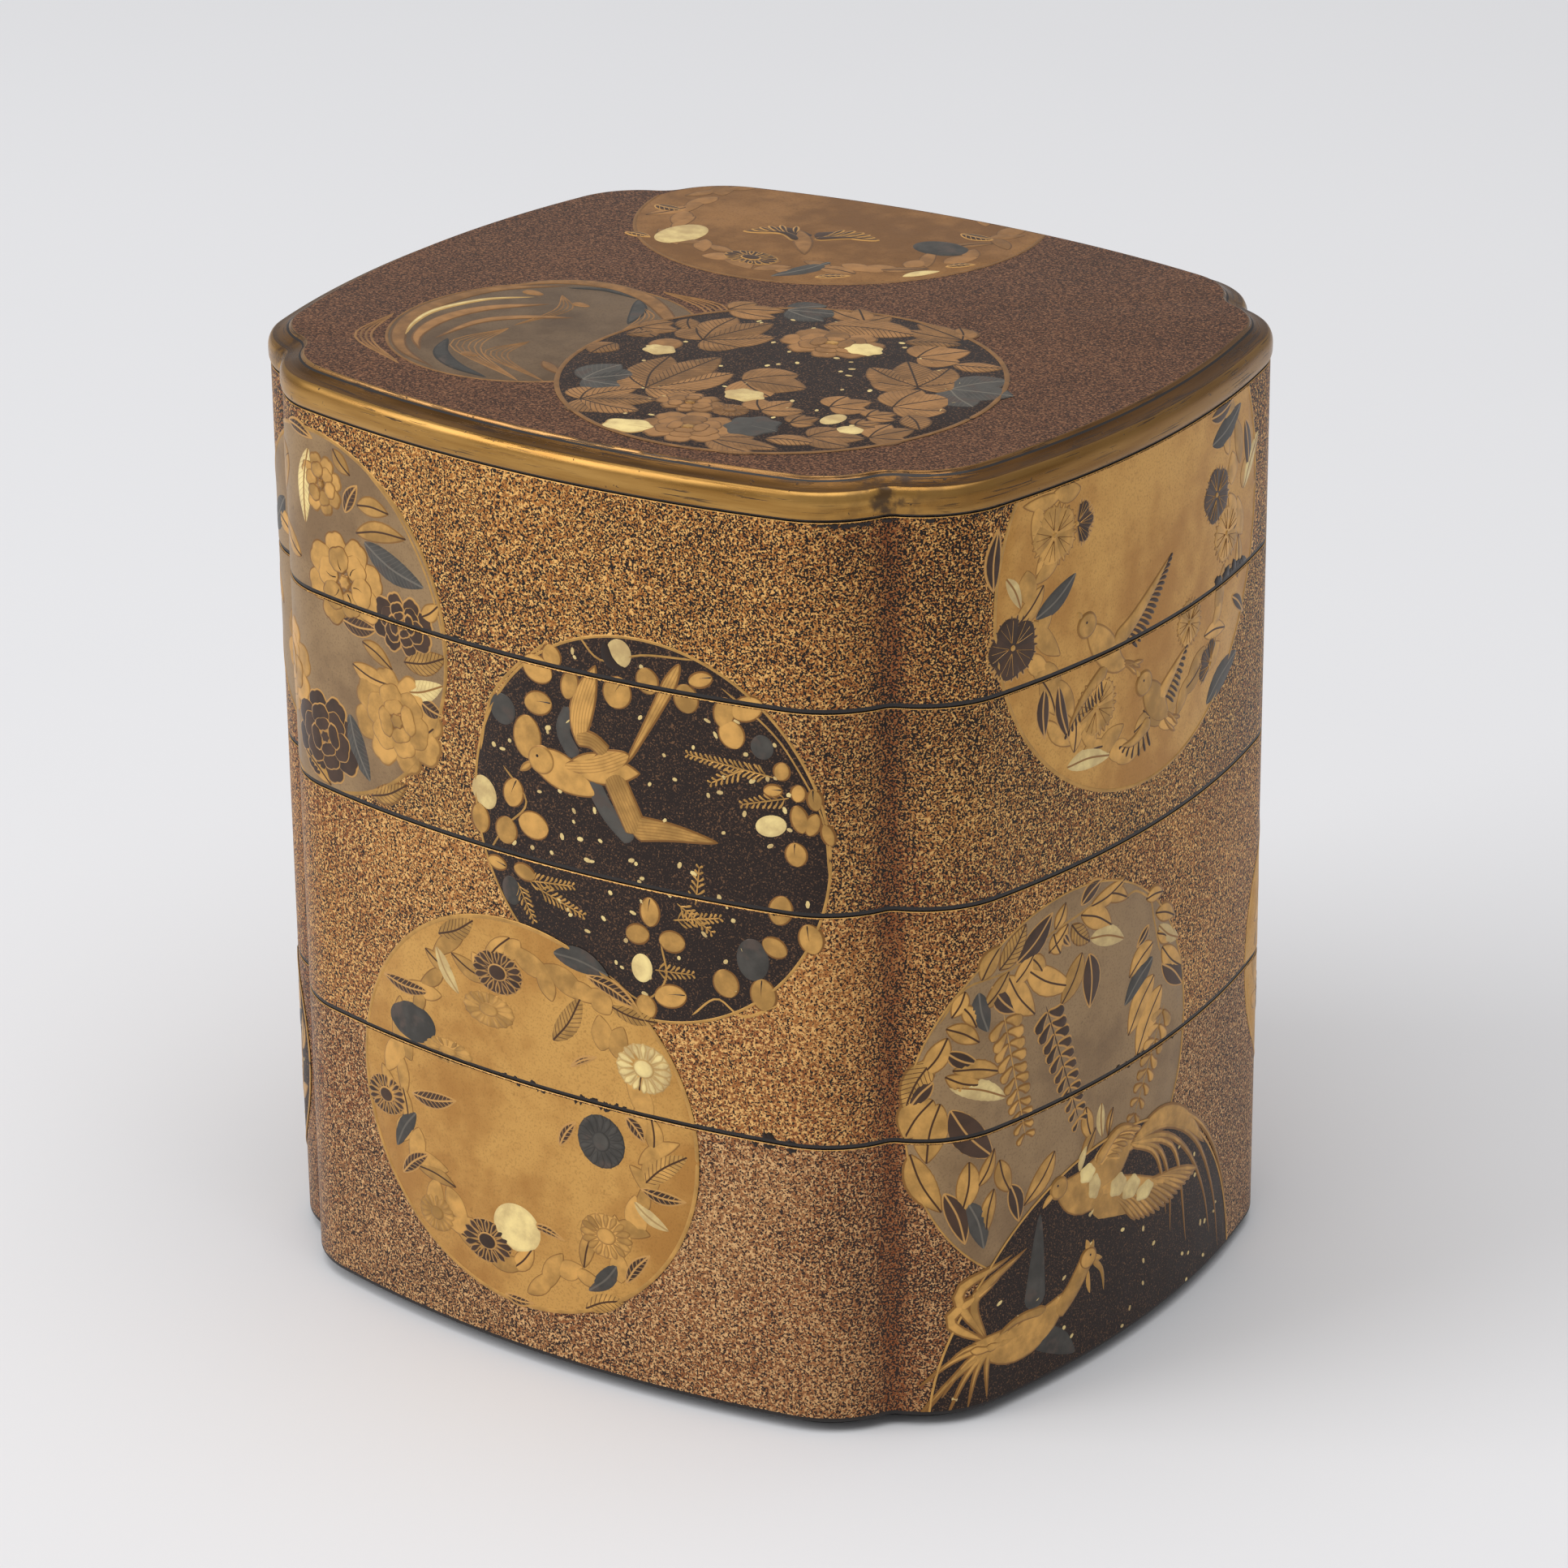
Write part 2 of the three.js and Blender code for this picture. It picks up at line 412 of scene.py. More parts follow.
# Each tier's last pair is painted light and shade on its two faces in view.
WALL_LACQUER = {
    "top_tier": sprinkled("gold_sprinkle_top", tint(28, 17, 10), tint(172, 110, 50), tint(244, 190, 112),
                          GRAIN, 0.505, red=NOTCH_RED, side_light_and_shade=(0, -0.03)),
    "second_tier": sprinkled("gold_sprinkle_second", tint(32, 21, 14), tint(168, 112, 56),
                             tint(238, 188, 114), GRAIN, 0.51, red=NOTCH_RED, side_light_and_shade=(-0.01, -0.02)),
    "third_tier": sprinkled("gold_sprinkle_third", tint(36, 22, 13), tint(174, 114, 58), tint(240, 188, 116),
                            GRAIN, 0.525, red=NOTCH_RED, side_light_and_shade=(0.04, -0.02)),
    "bottom_tier": sprinkled("gold_sprinkle_bottom", tint(48, 31, 23), tint(158, 108, 66),
                             tint(226, 180, 124), GRAIN, 0.505, red=NOTCH_RED, side_light_and_shade=(0.04, -0.005)),
}
gilt_rim = plain_lacquer("gilt_rim", tint(190, 144, 76), 0.3, metal=0.6)
inside_lacquer = sprinkled("inside_lacquer", tint(40, 16, 10), tint(120, 78, 36),
                           tint(196, 146, 84), 0.9, 0.4)
# The dark coat of the feet and undersides, also painted shade along the tiers' and the lid's lower edges.
dark_coat_and_seam_shade = plain_lacquer("dark_coat_and_seam_shade", tint(20, 12, 8), 0.5)


def tier_rows(height):
    """The section of a tier from the axis under its floor, round the foot, up the wall, over the
    rim and down to the floor, with the band of finish below each row: 0 wall, 1 rim, 2 inside, 3 foot,
    whose dark coat also paints shade along the wall's lower edge."""
    face = RELIEF_ROOM
    rows = [(HALF_WIDTH, 0, 3), (FOOT_INSET + FOOT_WIDTH, 0, 3), (FOOT_INSET + FOOT_WIDTH, -FOOT_DEPTH, 3),
            (FOOT_INSET, -FOOT_DEPTH, 3), (FOOT_INSET, 0, 3)]
    # The foot rounding and the wall up to DARK_EDGE take the dark coat: painted shade at the seam over the
    # tier below, or over the floor.
    rows += [(*row, 3) for row in rounding(face + FOOT_ROUNDING, FOOT_ROUNDING, FOOT_ROUNDING, -90, 0)]
    rows += [(face, DARK_EDGE, 3), (face, height - RIM_ROUNDING, 0)]
    rim = rounding(face + RIM_ROUNDING, height - RIM_ROUNDING, RIM_ROUNDING, 0, 90, steps=4)
    rows += [(*row, part) for row, part in zip(rim[1:], (0, 1, 3))]
    rows += [(WALL - 0.4, height, 3), (WALL - 0.1, height - 0.1, 3), (WALL, height - 0.4, 3)]
    rows += [(WALL, FLOOR + 1.2, 2), (WALL + 0.35, FLOOR + 0.35, 2), (WALL + 1.2, FLOOR, 2)]
    rows += [(HALF_WIDTH, FLOOR, 2)]
    return rows


tier_levels = {}
for tier_name, tier_finish in WALL_LACQUER.items():
    low, high = (corner[2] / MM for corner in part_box(tier_name))
    base = low + FOOT_DEPTH
    tier_levels[tier_name] = (base, high)
    section = tier_rows(high - base)
    finishes = [row[2] for row in section[1:]]
    tier = lofted(tier_name + "_walls", [row[:2] for row in section], base,
                  [tier_finish, gilt_rim, inside_lacquer, dark_coat_and_seam_shade], finishes)
    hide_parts(tier_name)

# The lid: a lacquered wooden plate with a raised flat panel inside a moulded gold edge, and a
# recessed underside with a low lip that drops into the top tier's mouth. It lifts off.
LID_PLATE = 4.5
LID_PANEL_INSET = 5
LID_PANEL_STEP = 0.75
LID_RIDGE_HEIGHT = 6.25
lid_low, lid_high = (corner[2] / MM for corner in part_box("lid"))
lid_base = lid_low + FOOT_DEPTH
lid_height = lid_high - lid_base
panel_height = lid_height - RELIEF_ROOM + 0.05


def lid_rows():
    """The section of the lid: underside and lip, a swelling edge whose inset grows as the cube of
    the way from its middle, a rounded ridge, a hollowed band up to a small step, and the panel.
    Each row's number is the finish of the band below it, in the order that lid_plate takes them."""
    underside = lid_height - LID_PLATE
    rows = [(HALF_WIDTH, underside, 2), (FOOT_INSET + FOOT_WIDTH, underside, 2),
            (FOOT_INSET + FOOT_WIDTH, -FOOT_DEPTH, 2), (FOOT_INSET, -FOOT_DEPTH, 2), (FOOT_INSET, 0, 2)]
    swell = np.linspace(-1, 1, 13)
    # The swelling's lowest rows take the dark coat: painted shade at the seam over the top tier.
    rows += [(0.05 + 0.7 * abs(part) ** 3, 0.15 + (part + 1) / 2 * (LID_RIDGE_HEIGHT - 0.45),
              2 if part < -0.7 else 0) for part in swell]
    band = np.linspace(0, 1, 9)
    step_foot = panel_height - LID_PANEL_STEP + 0.1
    rows += [(1.15 + part * (LID_PANEL_INSET - 1.45),
              LID_RIDGE_HEIGHT + part * (step_foot - LID_RIDGE_HEIGHT) - 1.2 * part * (1 - part),
              4 if 0 < part < 0.95 else 0 if part == 0 else 2)
             for part in band]
    rows += [(*row, 1) for row in rounding(LID_PANEL_INSET + 0.45, panel_height - 0.45, 0.45, 5, 90)]
    rows += [(HALF_WIDTH, panel_height, 3)]
    return rows


def worn_gold(name, dim, bright, streaks, chips):
    """Gold lacquer on the moulding, clouded, and rubbed through to the dark coat in streaks along it
    and small chips. The noise is read on the unrolled edge, drawn out along the moulding. It darkens
    in patches near the notches, and the edge is browner on the +X side as painted shade."""
    finish = Finish(name)
    strip = finish.attribute("strip")

    def drawn_out(length, width, detail):
        """Noise whose lumps are length millimetres along the moulding and width across it."""
        spot = finish.node("ShaderNodeVectorMath", {"operation": "MULTIPLY"},
                           {0: strip, 1: (1 / length, 1 / length, 1 / width)})
        return finish.node("ShaderNodeTexNoise", {}, {"Vector": spot, "Scale": 1, "Detail": detail})

    streaked = drawn_out(9, 0.35, 3).rising(0.66 - streaks, 0.74 - streaks)
    patches = drawn_out(26, 3, 3).rising(0.42, 0.6)
    chipped = finish.noise(1.4, 3).rising(0.74 - chips, 0.78 - chips)
    notch = finish.attribute("notch", "Fac")
    # Darker patches near the notches, read from the notch falloff.
    notch_darkening = notch.rising(0.1, 0.7) * finish.noise(3, 4).rising(0.38, 0.62)
    wear = (streaked * patches).math("MAXIMUM", chipped).math("MAXIMUM", notch_darkening)
    soft = drawn_out(30, 2.5, 4).rising(0.25, 0.75)
    around = finish.split(strip).other("Y")
    # Painted shade: the moulding turns browner on the +X side, the side turned from the light.
    body = finish.mixed(around.rising(72, 92) * 0.45, finish.mixed(soft, dim, bright), tint(92, 60, 32))
    finish.feed(finish.shader, {
        "Base Color": finish.mixed(wear * 0.85, body, tint(46, 29, 17)),
        "Metallic": 0.85 - wear * 0.7,
        "Roughness": soft * 0.12 + 0.24,
        "Normal": finish.bumped(wear * -1, 0.04),
        "Specular IOR Level": 0.3,
    })
    return finish.material


panel_lacquer = sprinkled("lid_panel_lacquer", tint(60, 38, 26), tint(98, 63, 43), tint(136, 95, 66),
                          GRAIN, 0.5, roughness=0.46, metal=0.05)
ridge_gold = worn_gold("ridge_gold", tint(148, 106, 50), tint(190, 146, 80), 0.08, 0.04)
hollow_gold = worn_gold("hollow_gold", tint(96, 66, 32), tint(140, 100, 52), 0.17, 0.08)
border_gold = worn_gold("border_gold", tint(140, 100, 58), tint(186, 142, 88), 0.17, 0.08)
section = lid_rows()
lid = lofted("lid_plate", [row[:2] for row in section], lid_base,
             [ridge_gold, border_gold, dark_coat_and_seam_shade, panel_lacquer, hollow_gold],
             [row[2] for row in section[1:]])
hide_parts("lid")

# The raised lacquer of the round pictures: each leaf, petal and feather is a low mound of lacquer
# built up on the ground and finished in gold powder, foil, silver or dark lacquer. All of it is
# drawn on the unrolled wall, as the walk along the plan and the height, or on the lid's panel.
chance = np.random.default_rng(11)
SUNK = 0.04
mounds = {"wall": {}, "lid": {}}


def pointed(way):
    """Half-width of a leaf: a full sine arch, widest nearer its base."""
    return np.sin(np.pi * way ** 0.88) ** 0.75


def oval(way):
    """Half-width of an ellipse."""
    return np.sqrt(np.maximum(1 - (2 * way - 1) ** 2, 0))


def even(way):
    """Half-width of a line with short round ends."""
    return np.sqrt(np.minimum(1, np.minimum(16 * way, 16 * (1 - way))))


def ribbon(way):
    """Half-width of a line that meets itself: full all the way."""
    return np.minimum(1, 400 * np.minimum(way, 1 - way))


def petal(way):
    """Half-width of a broad petal: it widens from its base and ends in a wide round tip."""
    widening = 0.35 + 0.65 * np.minimum(1, 1.4 * way)
    round_tip = np.sqrt(np.minimum(1, 3.2 * (1 - way)))
    return widening * round_tip * np.minimum(1, 12 * way) ** 0.5


def plume(way):
    """Half-width of a feather or a petal: narrow at the base, widest near the round tip."""
    return (0.3 + 0.7 * way) * np.sqrt(np.minimum(1, 5 * (1 - way))) * np.minimum(1, 10 * way) ** 0.5


def taper(way):
    """Half-width of a tail feather or a crescent's horn: soon full, then ever thinner."""
    return np.minimum(1, 10 * way) ** 0.5 * (1 - way) ** 0.6


def toward(angle):
    """The unit vector at an angle."""
    return np.array((math.cos(angle), math.sin(angle)))


def leftward(way):
    """Vectors turned a quarter to the left."""
    return np.stack([-way[..., 1], way[..., 0]], -1)


def drawn(points, ways):
    """Places at the given parts of the length of a smooth curve through the points, with its heading.

    The curve is a cubic between each two points whose slope at a point is half the step across it."""
    points = np.array(points, float)
    padded = np.vstack([2 * points[0] - points[1], points, 2 * points[-1] - points[-2]])
    walk = np.linspace(0, len(points) - 1, 12 * (len(points) - 1) + 1)
    leg = np.minimum(walk.astype(int), len(points) - 2)
    part = (walk - leg)[:, None]
    p0, p1, p2, p3 = (padded[leg + step] for step in range(4))
    curve = p1 + part / 2 * (p2 - p0 + part * (2 * p0 - 5 * p1 + 4 * p2 - p3
                                              + part * (3 * p1 - 3 * p2 + p3 - p0)))
    walked = np.append(0, np.cumsum(np.linalg.norm(np.diff(curve, axis=0), axis=1)))
    slope = np.gradient(curve, axis=0)
    place = np.stack([np.interp(ways * walked[-1], walked, curve[:, axis]) for axis in (0, 1)], 1)
    heading = np.stack([np.interp(ways * walked[-1], walked, slope[:, axis]) for axis in (0, 1)], 1)
    return place, heading / np.linalg.norm(heading, axis=1, keepdims=True), walked[-1]


def closed_rows(*arrays):
    """Rows of points as one list, whose first and last rows become one point each."""
    return (np.concatenate([rows[:1, 0], rows[1:-1].reshape(-1, *rows.shape[2:]), rows[-1:, 0]])
            for rows in arrays)


def blade_triangles(rows, columns):
    """Faces of a closed blade: point 0 is its base, the last its tip, with rows across it between.
    The underside joins the two edges of each row."""
    inner = np.arange((rows - 2) * columns).reshape(rows - 2, columns) + 1
    tip = inner[-1, -1] + 1
    near, far = inner[:-1], inner[1:]
    first, last = inner[0], inner[-1]
    base = np.zeros(columns - 1, int)
    faces = [(near[:, :-1], far[:, :-1], far[:, 1:]), (near[:, :-1], far[:, 1:], near[:, 1:]),
             (near[:, 0], near[:, -1], far[:, -1]), (near[:, 0], far[:, -1], far[:, 0]),
             (base, first[:-1], first[1:]), (base + tip, last[1:], last[:-1]),
             (base[:1], first[-1:], first[:1]), (base[:1] + tip, last[:1], last[-1:])]
    return np.vstack([np.stack([corner.ravel() for corner in face], 1) for face in faces])


def boss_triangles(sectors, rings):
    """Faces of a closed boss: point 0 is the middle of its top, then rings, then its underside's middle."""
    here = np.arange(sectors)
    beside = (here + 1) % sectors
    faces = [np.stack([0 * here, 1 + here, 1 + beside], 1)]
    for ring in range(rings - 1):
        low, high = 1 + ring * sectors, 1 + (ring + 1) * sectors
        faces += [np.stack([low + here, high + here, high + beside], 1),
                  np.stack([low + here, high + beside, low + beside], 1)]
    edge = 1 + (rings - 1) * sectors
    faces.append(np.stack([0 * here + edge + sectors, edge + beside, edge + here], 1))
    return np.vstack(faces)


class Picture:
    """One round picture on the wall or the lid, at a level in millimetres above the lacquer."""

    def __init__(self, sheet, centre, radius, level):
        self.sheet, self.centre, self.radius, self.level = sheet, np.array(centre, float), radius, level

    def mound(self, finish, flat, height, grain, kind, faces):
        """Keep one closed mound: flat places, heights, the grain's (along, across, edge) in
        millimetres and the kind's (tone, veins, outline)."""
        points = np.column_stack([flat, height])
        kinds = np.broadcast_to(np.array(kind, float), grain.shape)
        mounds[self.sheet].setdefault(finish, []).append((points, grain, kinds, faces))

    def blade(self, finish, points, width, shape=pointed, rise=0.13, veins=0.0, outline=0.0,
              rows=14, columns=5):
        """A blade along a curve: as wide as its shape says, domed as an ellipse across."""
        way = (1 - np.cos(np.linspace(0, np.pi, rows))) / 2
        place, heading, length = drawn(points, way)
        half = width / 2 * shape(way)
        across = np.sin(np.linspace(-np.pi / 2, np.pi / 2, columns))
        flat = place[:, None] + leftward(heading)[:, None] * (half[:, None] * across)[..., None]
        dome = np.sqrt(1 - across ** 2) * np.sqrt(half / half.max())[:, None]
        height = self.level - SUNK + (rise + SUNK + chance.uniform(0, 0.02)) * dome
        grain = np.stack(np.broadcast_arrays(length * way[:, None], half[:, None] * across,
                                             half[:, None] * (1 - abs(across))), -1)
        flat, height, grain = closed_rows(flat, height, grain)
        self.mound(finish, flat, height, grain, (chance.uniform(), veins, outline),
                   blade_triangles(rows, columns))

    def boss(self, finish, centre, reach, outline_of=None, rise=0.14, turn=0.0,
             veins=0.0, outline=0.0, sectors=36, rings=4):
        """A boss about a centre: reach is its half width and height, and outline_of(angle) scales it.
        Its top falls by an eighth of the square of the part out, and steeply at the very edge."""
        angle = np.linspace(0, 2 * np.pi, sectors, endpoint=False)
        part = np.linspace(0, 1, rings + 1)[1:, None] ** 0.42
        scale = outline_of(angle) if outline_of else np.ones(sectors)
        spot = part * scale * np.exp(1j * angle)
        spot = (spot.real * reach[0] + 1j * spot.imag * reach[1]) * np.exp(1j * turn)
        dome = np.maximum(1 - part ** 10, 0) ** 0.4 * (1 - 0.12 * part ** 2) + 0 * angle
        size = np.mean(reach)
        flat = np.concatenate([[[0, 0]], np.stack([spot.real.ravel(), spot.imag.ravel()], 1), [[0, 0]]])
        height = self.level - SUNK + (rise + SUNK + chance.uniform(0, 0.02)) * np.concatenate(
            [[1], dome.ravel(), [0]])
        grain = np.stack([(part * size + 0 * angle).ravel(), (angle * size + 0 * part).ravel(),
                          ((1 - part) * scale * size).ravel()], 1)
        grain = np.concatenate([[[0, 0, size]], grain, [[0, 0, 0]]])
        self.mound(finish, flat + np.array(centre), height, grain, (chance.uniform(), veins, outline),
                   boss_triangles(sectors, rings))

    def ground(self, finish):
        """The picture's flat ground: a thin disc whose rows stand at the plan's own points."""
        middle, rise = self.centre
        if self.sheet == "wall":
            stations = middle + (PLAN_WALKED - middle + GIRTH / 2) % GIRTH - GIRTH / 2
        else:
            stations = np.linspace(middle - self.radius, middle + self.radius, 91)
        near = np.sort(stations[abs(stations - middle) < 0.9995 * self.radius])
        near = np.concatenate([[middle - self.radius], near, [middle + self.radius]])
        half = np.sqrt(np.maximum(self.radius ** 2 - (near - middle) ** 2, 0))
        brim = np.minimum(0.2, half / 2)
        offset = np.stack([-half, brim - half, 0 * half, half - brim, half], 1)
        flat = np.stack([near[:, None] + 0 * offset, rise + offset], -1)
        height = np.where(abs(offset) < half[:, None], self.level, self.level - SUNK)
        height[[0, -1]] = self.level - SUNK
        grain = np.stack([flat[..., 0], flat[..., 1], half[:, None] - abs(offset)], -1)
        flat, height, grain = closed_rows(flat, height, grain)
        self.mound(finish, flat, height, grain, (0.5, 0, 0), blade_triangles(len(near), 5))

    def rim(self, finish, width):
        """The thin raised line round the picture."""
        angle = np.linspace(0, 2 * np.pi, 61)
        reach = self.radius - width / 2
        path = self.centre + reach * np.stack([np.cos(angle), np.sin(angle)], 1)
        self.blade(finish, path, width, ribbon, rise=0.08, rows=240)

    def leaf(self, finish, base, tip, width, bend=None, **more):
        """A leaf from base to tip, bent sideways by a part of its length. A pointed one is drawn a
        little longer and wider, because its ends are thin."""
        base, tip = np.array(base, float), np.array(tip, float)
        bend = chance.choice((-0.06, 0.06)) if bend is None else bend
        span = tip - base
        middle = (base + tip) / 2 + bend * leftward(span)
        if "shape" not in more:
            tip, width = tip + 0.05 * span, 1.18 * width
        self.blade(finish, (base, middle, tip), width, **more)

    def round_leaf(self, finish, centre, wide, tall, slit=0.0, **more):
        """A round leaf, drawn along its longer way, with a slit for its midrib."""
        centre = np.array(centre, float)
        lean = chance.uniform(-0.5, 0.5)
        upright = (np.sin(lean), np.cos(lean))
        along = np.array(upright if tall >= wide else upright[::-1])
        length, width = max(wide, tall), min(wide, tall)
        self.blade(finish, (centre - along * length / 2, centre + along * length / 2), width, oval,
                   columns=7, **more)
        if slit:
            aside = leftward(along)
            self.blade("black", (centre + along * length * 0.47, centre + 0.06 * aside * length,
                                 centre - along * length * 0.24), 0.85, taper, rise=0.2, columns=3, rows=9)

    def line(self, finish, points, width, rise=0.07, rows=None):
        """A thin raised line with round ends."""
        rows = rows or 6 * len(points) + 4
        self.blade(finish, points, width, even, rise=rise, rows=rows, columns=3)

    def fern(self, finish, points, size=2.9):
        """A fern sprig: a stem with pairs of thin leaflets, each pair shorter towards the tip."""
        self.line(finish, points, 0.5)
        way = np.linspace(0.1, 0.98, int(drawn(points, np.ones(1))[2] / 1.25))
        place, heading, _ = drawn(points, way)
        for spot, ahead, part in zip(place, heading, way):
            for side in (-1, 1):
                out = 0.7 * ahead + side * 0.7 * leftward(ahead)
                self.leaf(finish, spot, spot + out * size * (1.05 - 0.65 * part), 0.85, rows=7, columns=3,
                          shape=plume)

    def chrysanthemum(self, finish, core, centre, wide, tall, petals=16, outline=1.0):
        """A chrysanthemum seen from the front: petals round a raised core."""
        centre = np.array(centre, float)
        self.boss(finish, centre, (wide, tall), rise=0.06, outline=outline)
        for turn in np.arange(petals) / petals * 2 * np.pi:
            out = np.array((wide * np.cos(turn), tall * np.sin(turn)))
            breadth = 2 * np.pi * np.hypot(*out) / petals
            self.blade(finish, (centre + 0.3 * out, centre + 0.97 * out), breadth, petal, rise=0.13,
                       outline=0.8 * outline, rows=10)
        self.boss(core, centre, (0.4 * wide, 0.4 * tall), rise=0.18, sectors=24, rings=3, outline=outline)

    def pink(self, finish, centre, radius, start=0, end=360, petals=5, outline=1.0):
        """A pink: wedge petals with toothed tips and fine veins, fewer of them where it is seen from
        the side."""
        centre = np.array(centre, float)
        step = math.radians((end - start) / petals)
        for number in range(petals):
            middle = math.radians(start) + step * (number + 0.5)
            ahead = toward(middle)
            for lean in np.linspace(-0.4, 0.4, 5) * step:
                out = toward(middle + lean)
                self.blade(finish, (centre + 0.7 * radius * out, centre + 1.04 * radius * out),
                           0.24 * radius, oval, rise=0.08, outline=outline, rows=7, columns=3)
            self.blade(finish, (centre + 0.04 * radius * ahead, centre + 0.97 * radius * ahead),
                       2 * radius * math.sin(step / 2), petal, rise=0.11 + 0.01 * (number % 2),
                       outline=0.7 * outline, rows=14, columns=7)
            for lean in (-0.25 * step, 0, 0.25 * step):
                out = toward(middle + lean)
                self.line("dust" if finish == "dark" else "umber",
                          (centre + 0.15 * radius * ahead, centre + 0.85 * radius * out), 0.3, rise=0.17)
        self.boss("gold", centre, (0.1 * radius, 0.1 * radius), rise=0.22, sectors=12, rings=2)

    def peony(self, finish, centre, wide, tall, heart="gold", rounds=3, outline=1.0, slashes=False):
        """A peony: rounds of broad notched petals that overlap, smaller and higher towards the heart."""
        centre = np.array(centre, float)
        wide, tall = 1.2 * wide, 1.2 * tall

        def notched(angle):
            """Slightly wider away from the heart, with a dent in the middle of the tip."""
            dent = 0.16 * np.exp(-(np.angle(np.exp(1j * angle)) / 0.24) ** 2)
            return 1 + 0.06 * np.cos(angle) - dent + 0.025 * np.cos(8 * angle)

        for ring in range(rounds):
            share = 1 - 0.29 * ring
            petals = 8 - 2 * ring
            for number in range(petals):
                turn = 2 * np.pi * (number + 0.5 * ring) / petals + 0.3
                out = share * np.array((wide * np.cos(turn), tall * np.sin(turn)))
                length = np.hypot(*out)
                self.boss(finish, centre + 0.6 * out, (0.42 * length, 2.75 * length / petals), notched,
                          turn=np.arctan2(out[1], out[0]), outline=outline, sectors=40,
                          rise=0.07 + 0.035 * ((number % 2) + 2 * ring))
                if slashes and ring == rounds - 1:
                    side = 0.06 * leftward(out)
                    self.blade("black", (centre + 0.3 * out, centre + 0.5 * out + side, centre + 0.75 * out),
                               0.7, taper, rise=0.3, rows=9, columns=3)
        self.lobed(heart, centre, 0.34 * wide, 0.34 * tall, lobes=6, rise=0.27, outline=0.7)

    def palm(self, finish, centre, wide, tall, lobes=3, turn=0.0, **more):
        """A leaf of broad pointed lobes that spread from its stalk, the middle one on top."""
        centre = np.array(centre, float)
        reach = np.array((wide, tall)) / 2
        base = centre - 0.75 * reach * toward(turn)
        spread = math.radians(66 if lobes == 3 else 112)
        leans = sorted(np.linspace(-spread, spread, lobes), key=lambda lean: -abs(lean))
        for number, lean in enumerate(leans):
            tip = centre + reach * toward(turn + lean)
            self.leaf(finish, base, tip, (0.66 if lobes == 3 else 0.5) * min(wide, tall),
                      bend=0.06 * np.sign(lean), rise=0.08 + 0.015 * number, **more)

    def lobed(self, finish, centre, wide, tall, lobes=3, turn=0.0, **more):
        """A round shape whose edge is scalloped in shallow lobes."""
        self.boss(finish, centre, (wide / 2, tall / 2), lambda angle: 0.93 + 0.07 * np.cos(lobes * angle),
                  turn=turn, sectors=48, **more)

    def wing(self, finish, points, width, side=1, rise=0.14, outline=0.7, barred=False):
        """A wing: long flight feathers fanned from the shoulder to the tip, or short bars behind a
        gold arm, under a smooth band of small feathers along the arm."""
        points = np.array(points, float)
        count = max(6, int(np.hypot(*(points[-1] - points[0])) / (1.5 if barred else 3.0)))
        start = np.linspace(0.12 if barred else 0.02, 0.9 if barred else 0.45, count)
        reach = np.minimum(1, start + 0.12) if barred else np.linspace(0.45, 1, count)
        place, _, _ = drawn(points, start)
        goal, onward, _ = drawn(points, reach)
        trail = side * leftward(onward)
        if not barred:
            shoulder, _, _ = drawn(points, np.array((0.0, 0.35, 0.7)))
            web = shoulder + trail[[0, count // 2, -1]] * width * np.array((0.3, 0.42, 0.22))[:, None]
            self.blade(finish, (*web, points[-1]), 1.15 * width, taper, rise=rise - 0.04, rows=20, columns=7)
        for spot, end, out, part in zip(place, goal, trail, np.linspace(0, 1, count)):
            tip = end + out * width * (1 - 0.94 * part ** 1.5)
            self.leaf(finish, spot, tip, 1.2 if barred else 2.4, bend=-0.05 * side, shape=plume,
                      rise=rise + 0.01 * part, outline=0 if barred else outline, rows=10)
        self.blade("gold" if barred else finish, points, width * (0.85 if barred else 0.6), taper,
                   rise=rise + 0.04, outline=0.7, rows=22)

    def wreath(self, finish, count):
        """Low outlined leaves strewn in a band along the picture's edge."""
        for turn in np.arange(count) * 2 * np.pi / count:
            lean = turn + chance.uniform(0.5, 2.6)
            length = chance.uniform(7, 13)
            ahead = toward(lean) * length / 2
            spot = self.centre + toward(turn) * self.radius * chance.uniform(0.7, 0.86)
            self.leaf(finish, spot - ahead, spot + ahead, chance.uniform(3.6, 5.8), rise=0.07,
                      veins=chance.choice((0, 0, 0, 0, 0.5)), outline=0.75)

    def flakes(self, count, size=1.0, reach=1.0):
        """Small cut flakes of foil strewn over the ground."""
        for _ in range(count):
            turn, lean = chance.uniform(0, 2 * np.pi, 2)
            out = self.radius * 0.95 * reach * math.sqrt(chance.uniform())
            spot = self.centre + out * toward(turn)
            half = chance.uniform(0.4, 0.75) * size * toward(lean)
            self.blade("foil", (spot - half, spot + half), chance.uniform(0.8, 1.3) * size, oval,
                       rise=0.08, rows=5, columns=3)


# How far apart the side veins and a feather's lines run, and how far in from the edge the outline
# begins to show and is full.
VEIN_PITCH = 1.3
BARB_PITCH = 0.7
OUTLINE_EDGE = 0.72
OUTLINE_FULL = 0.42


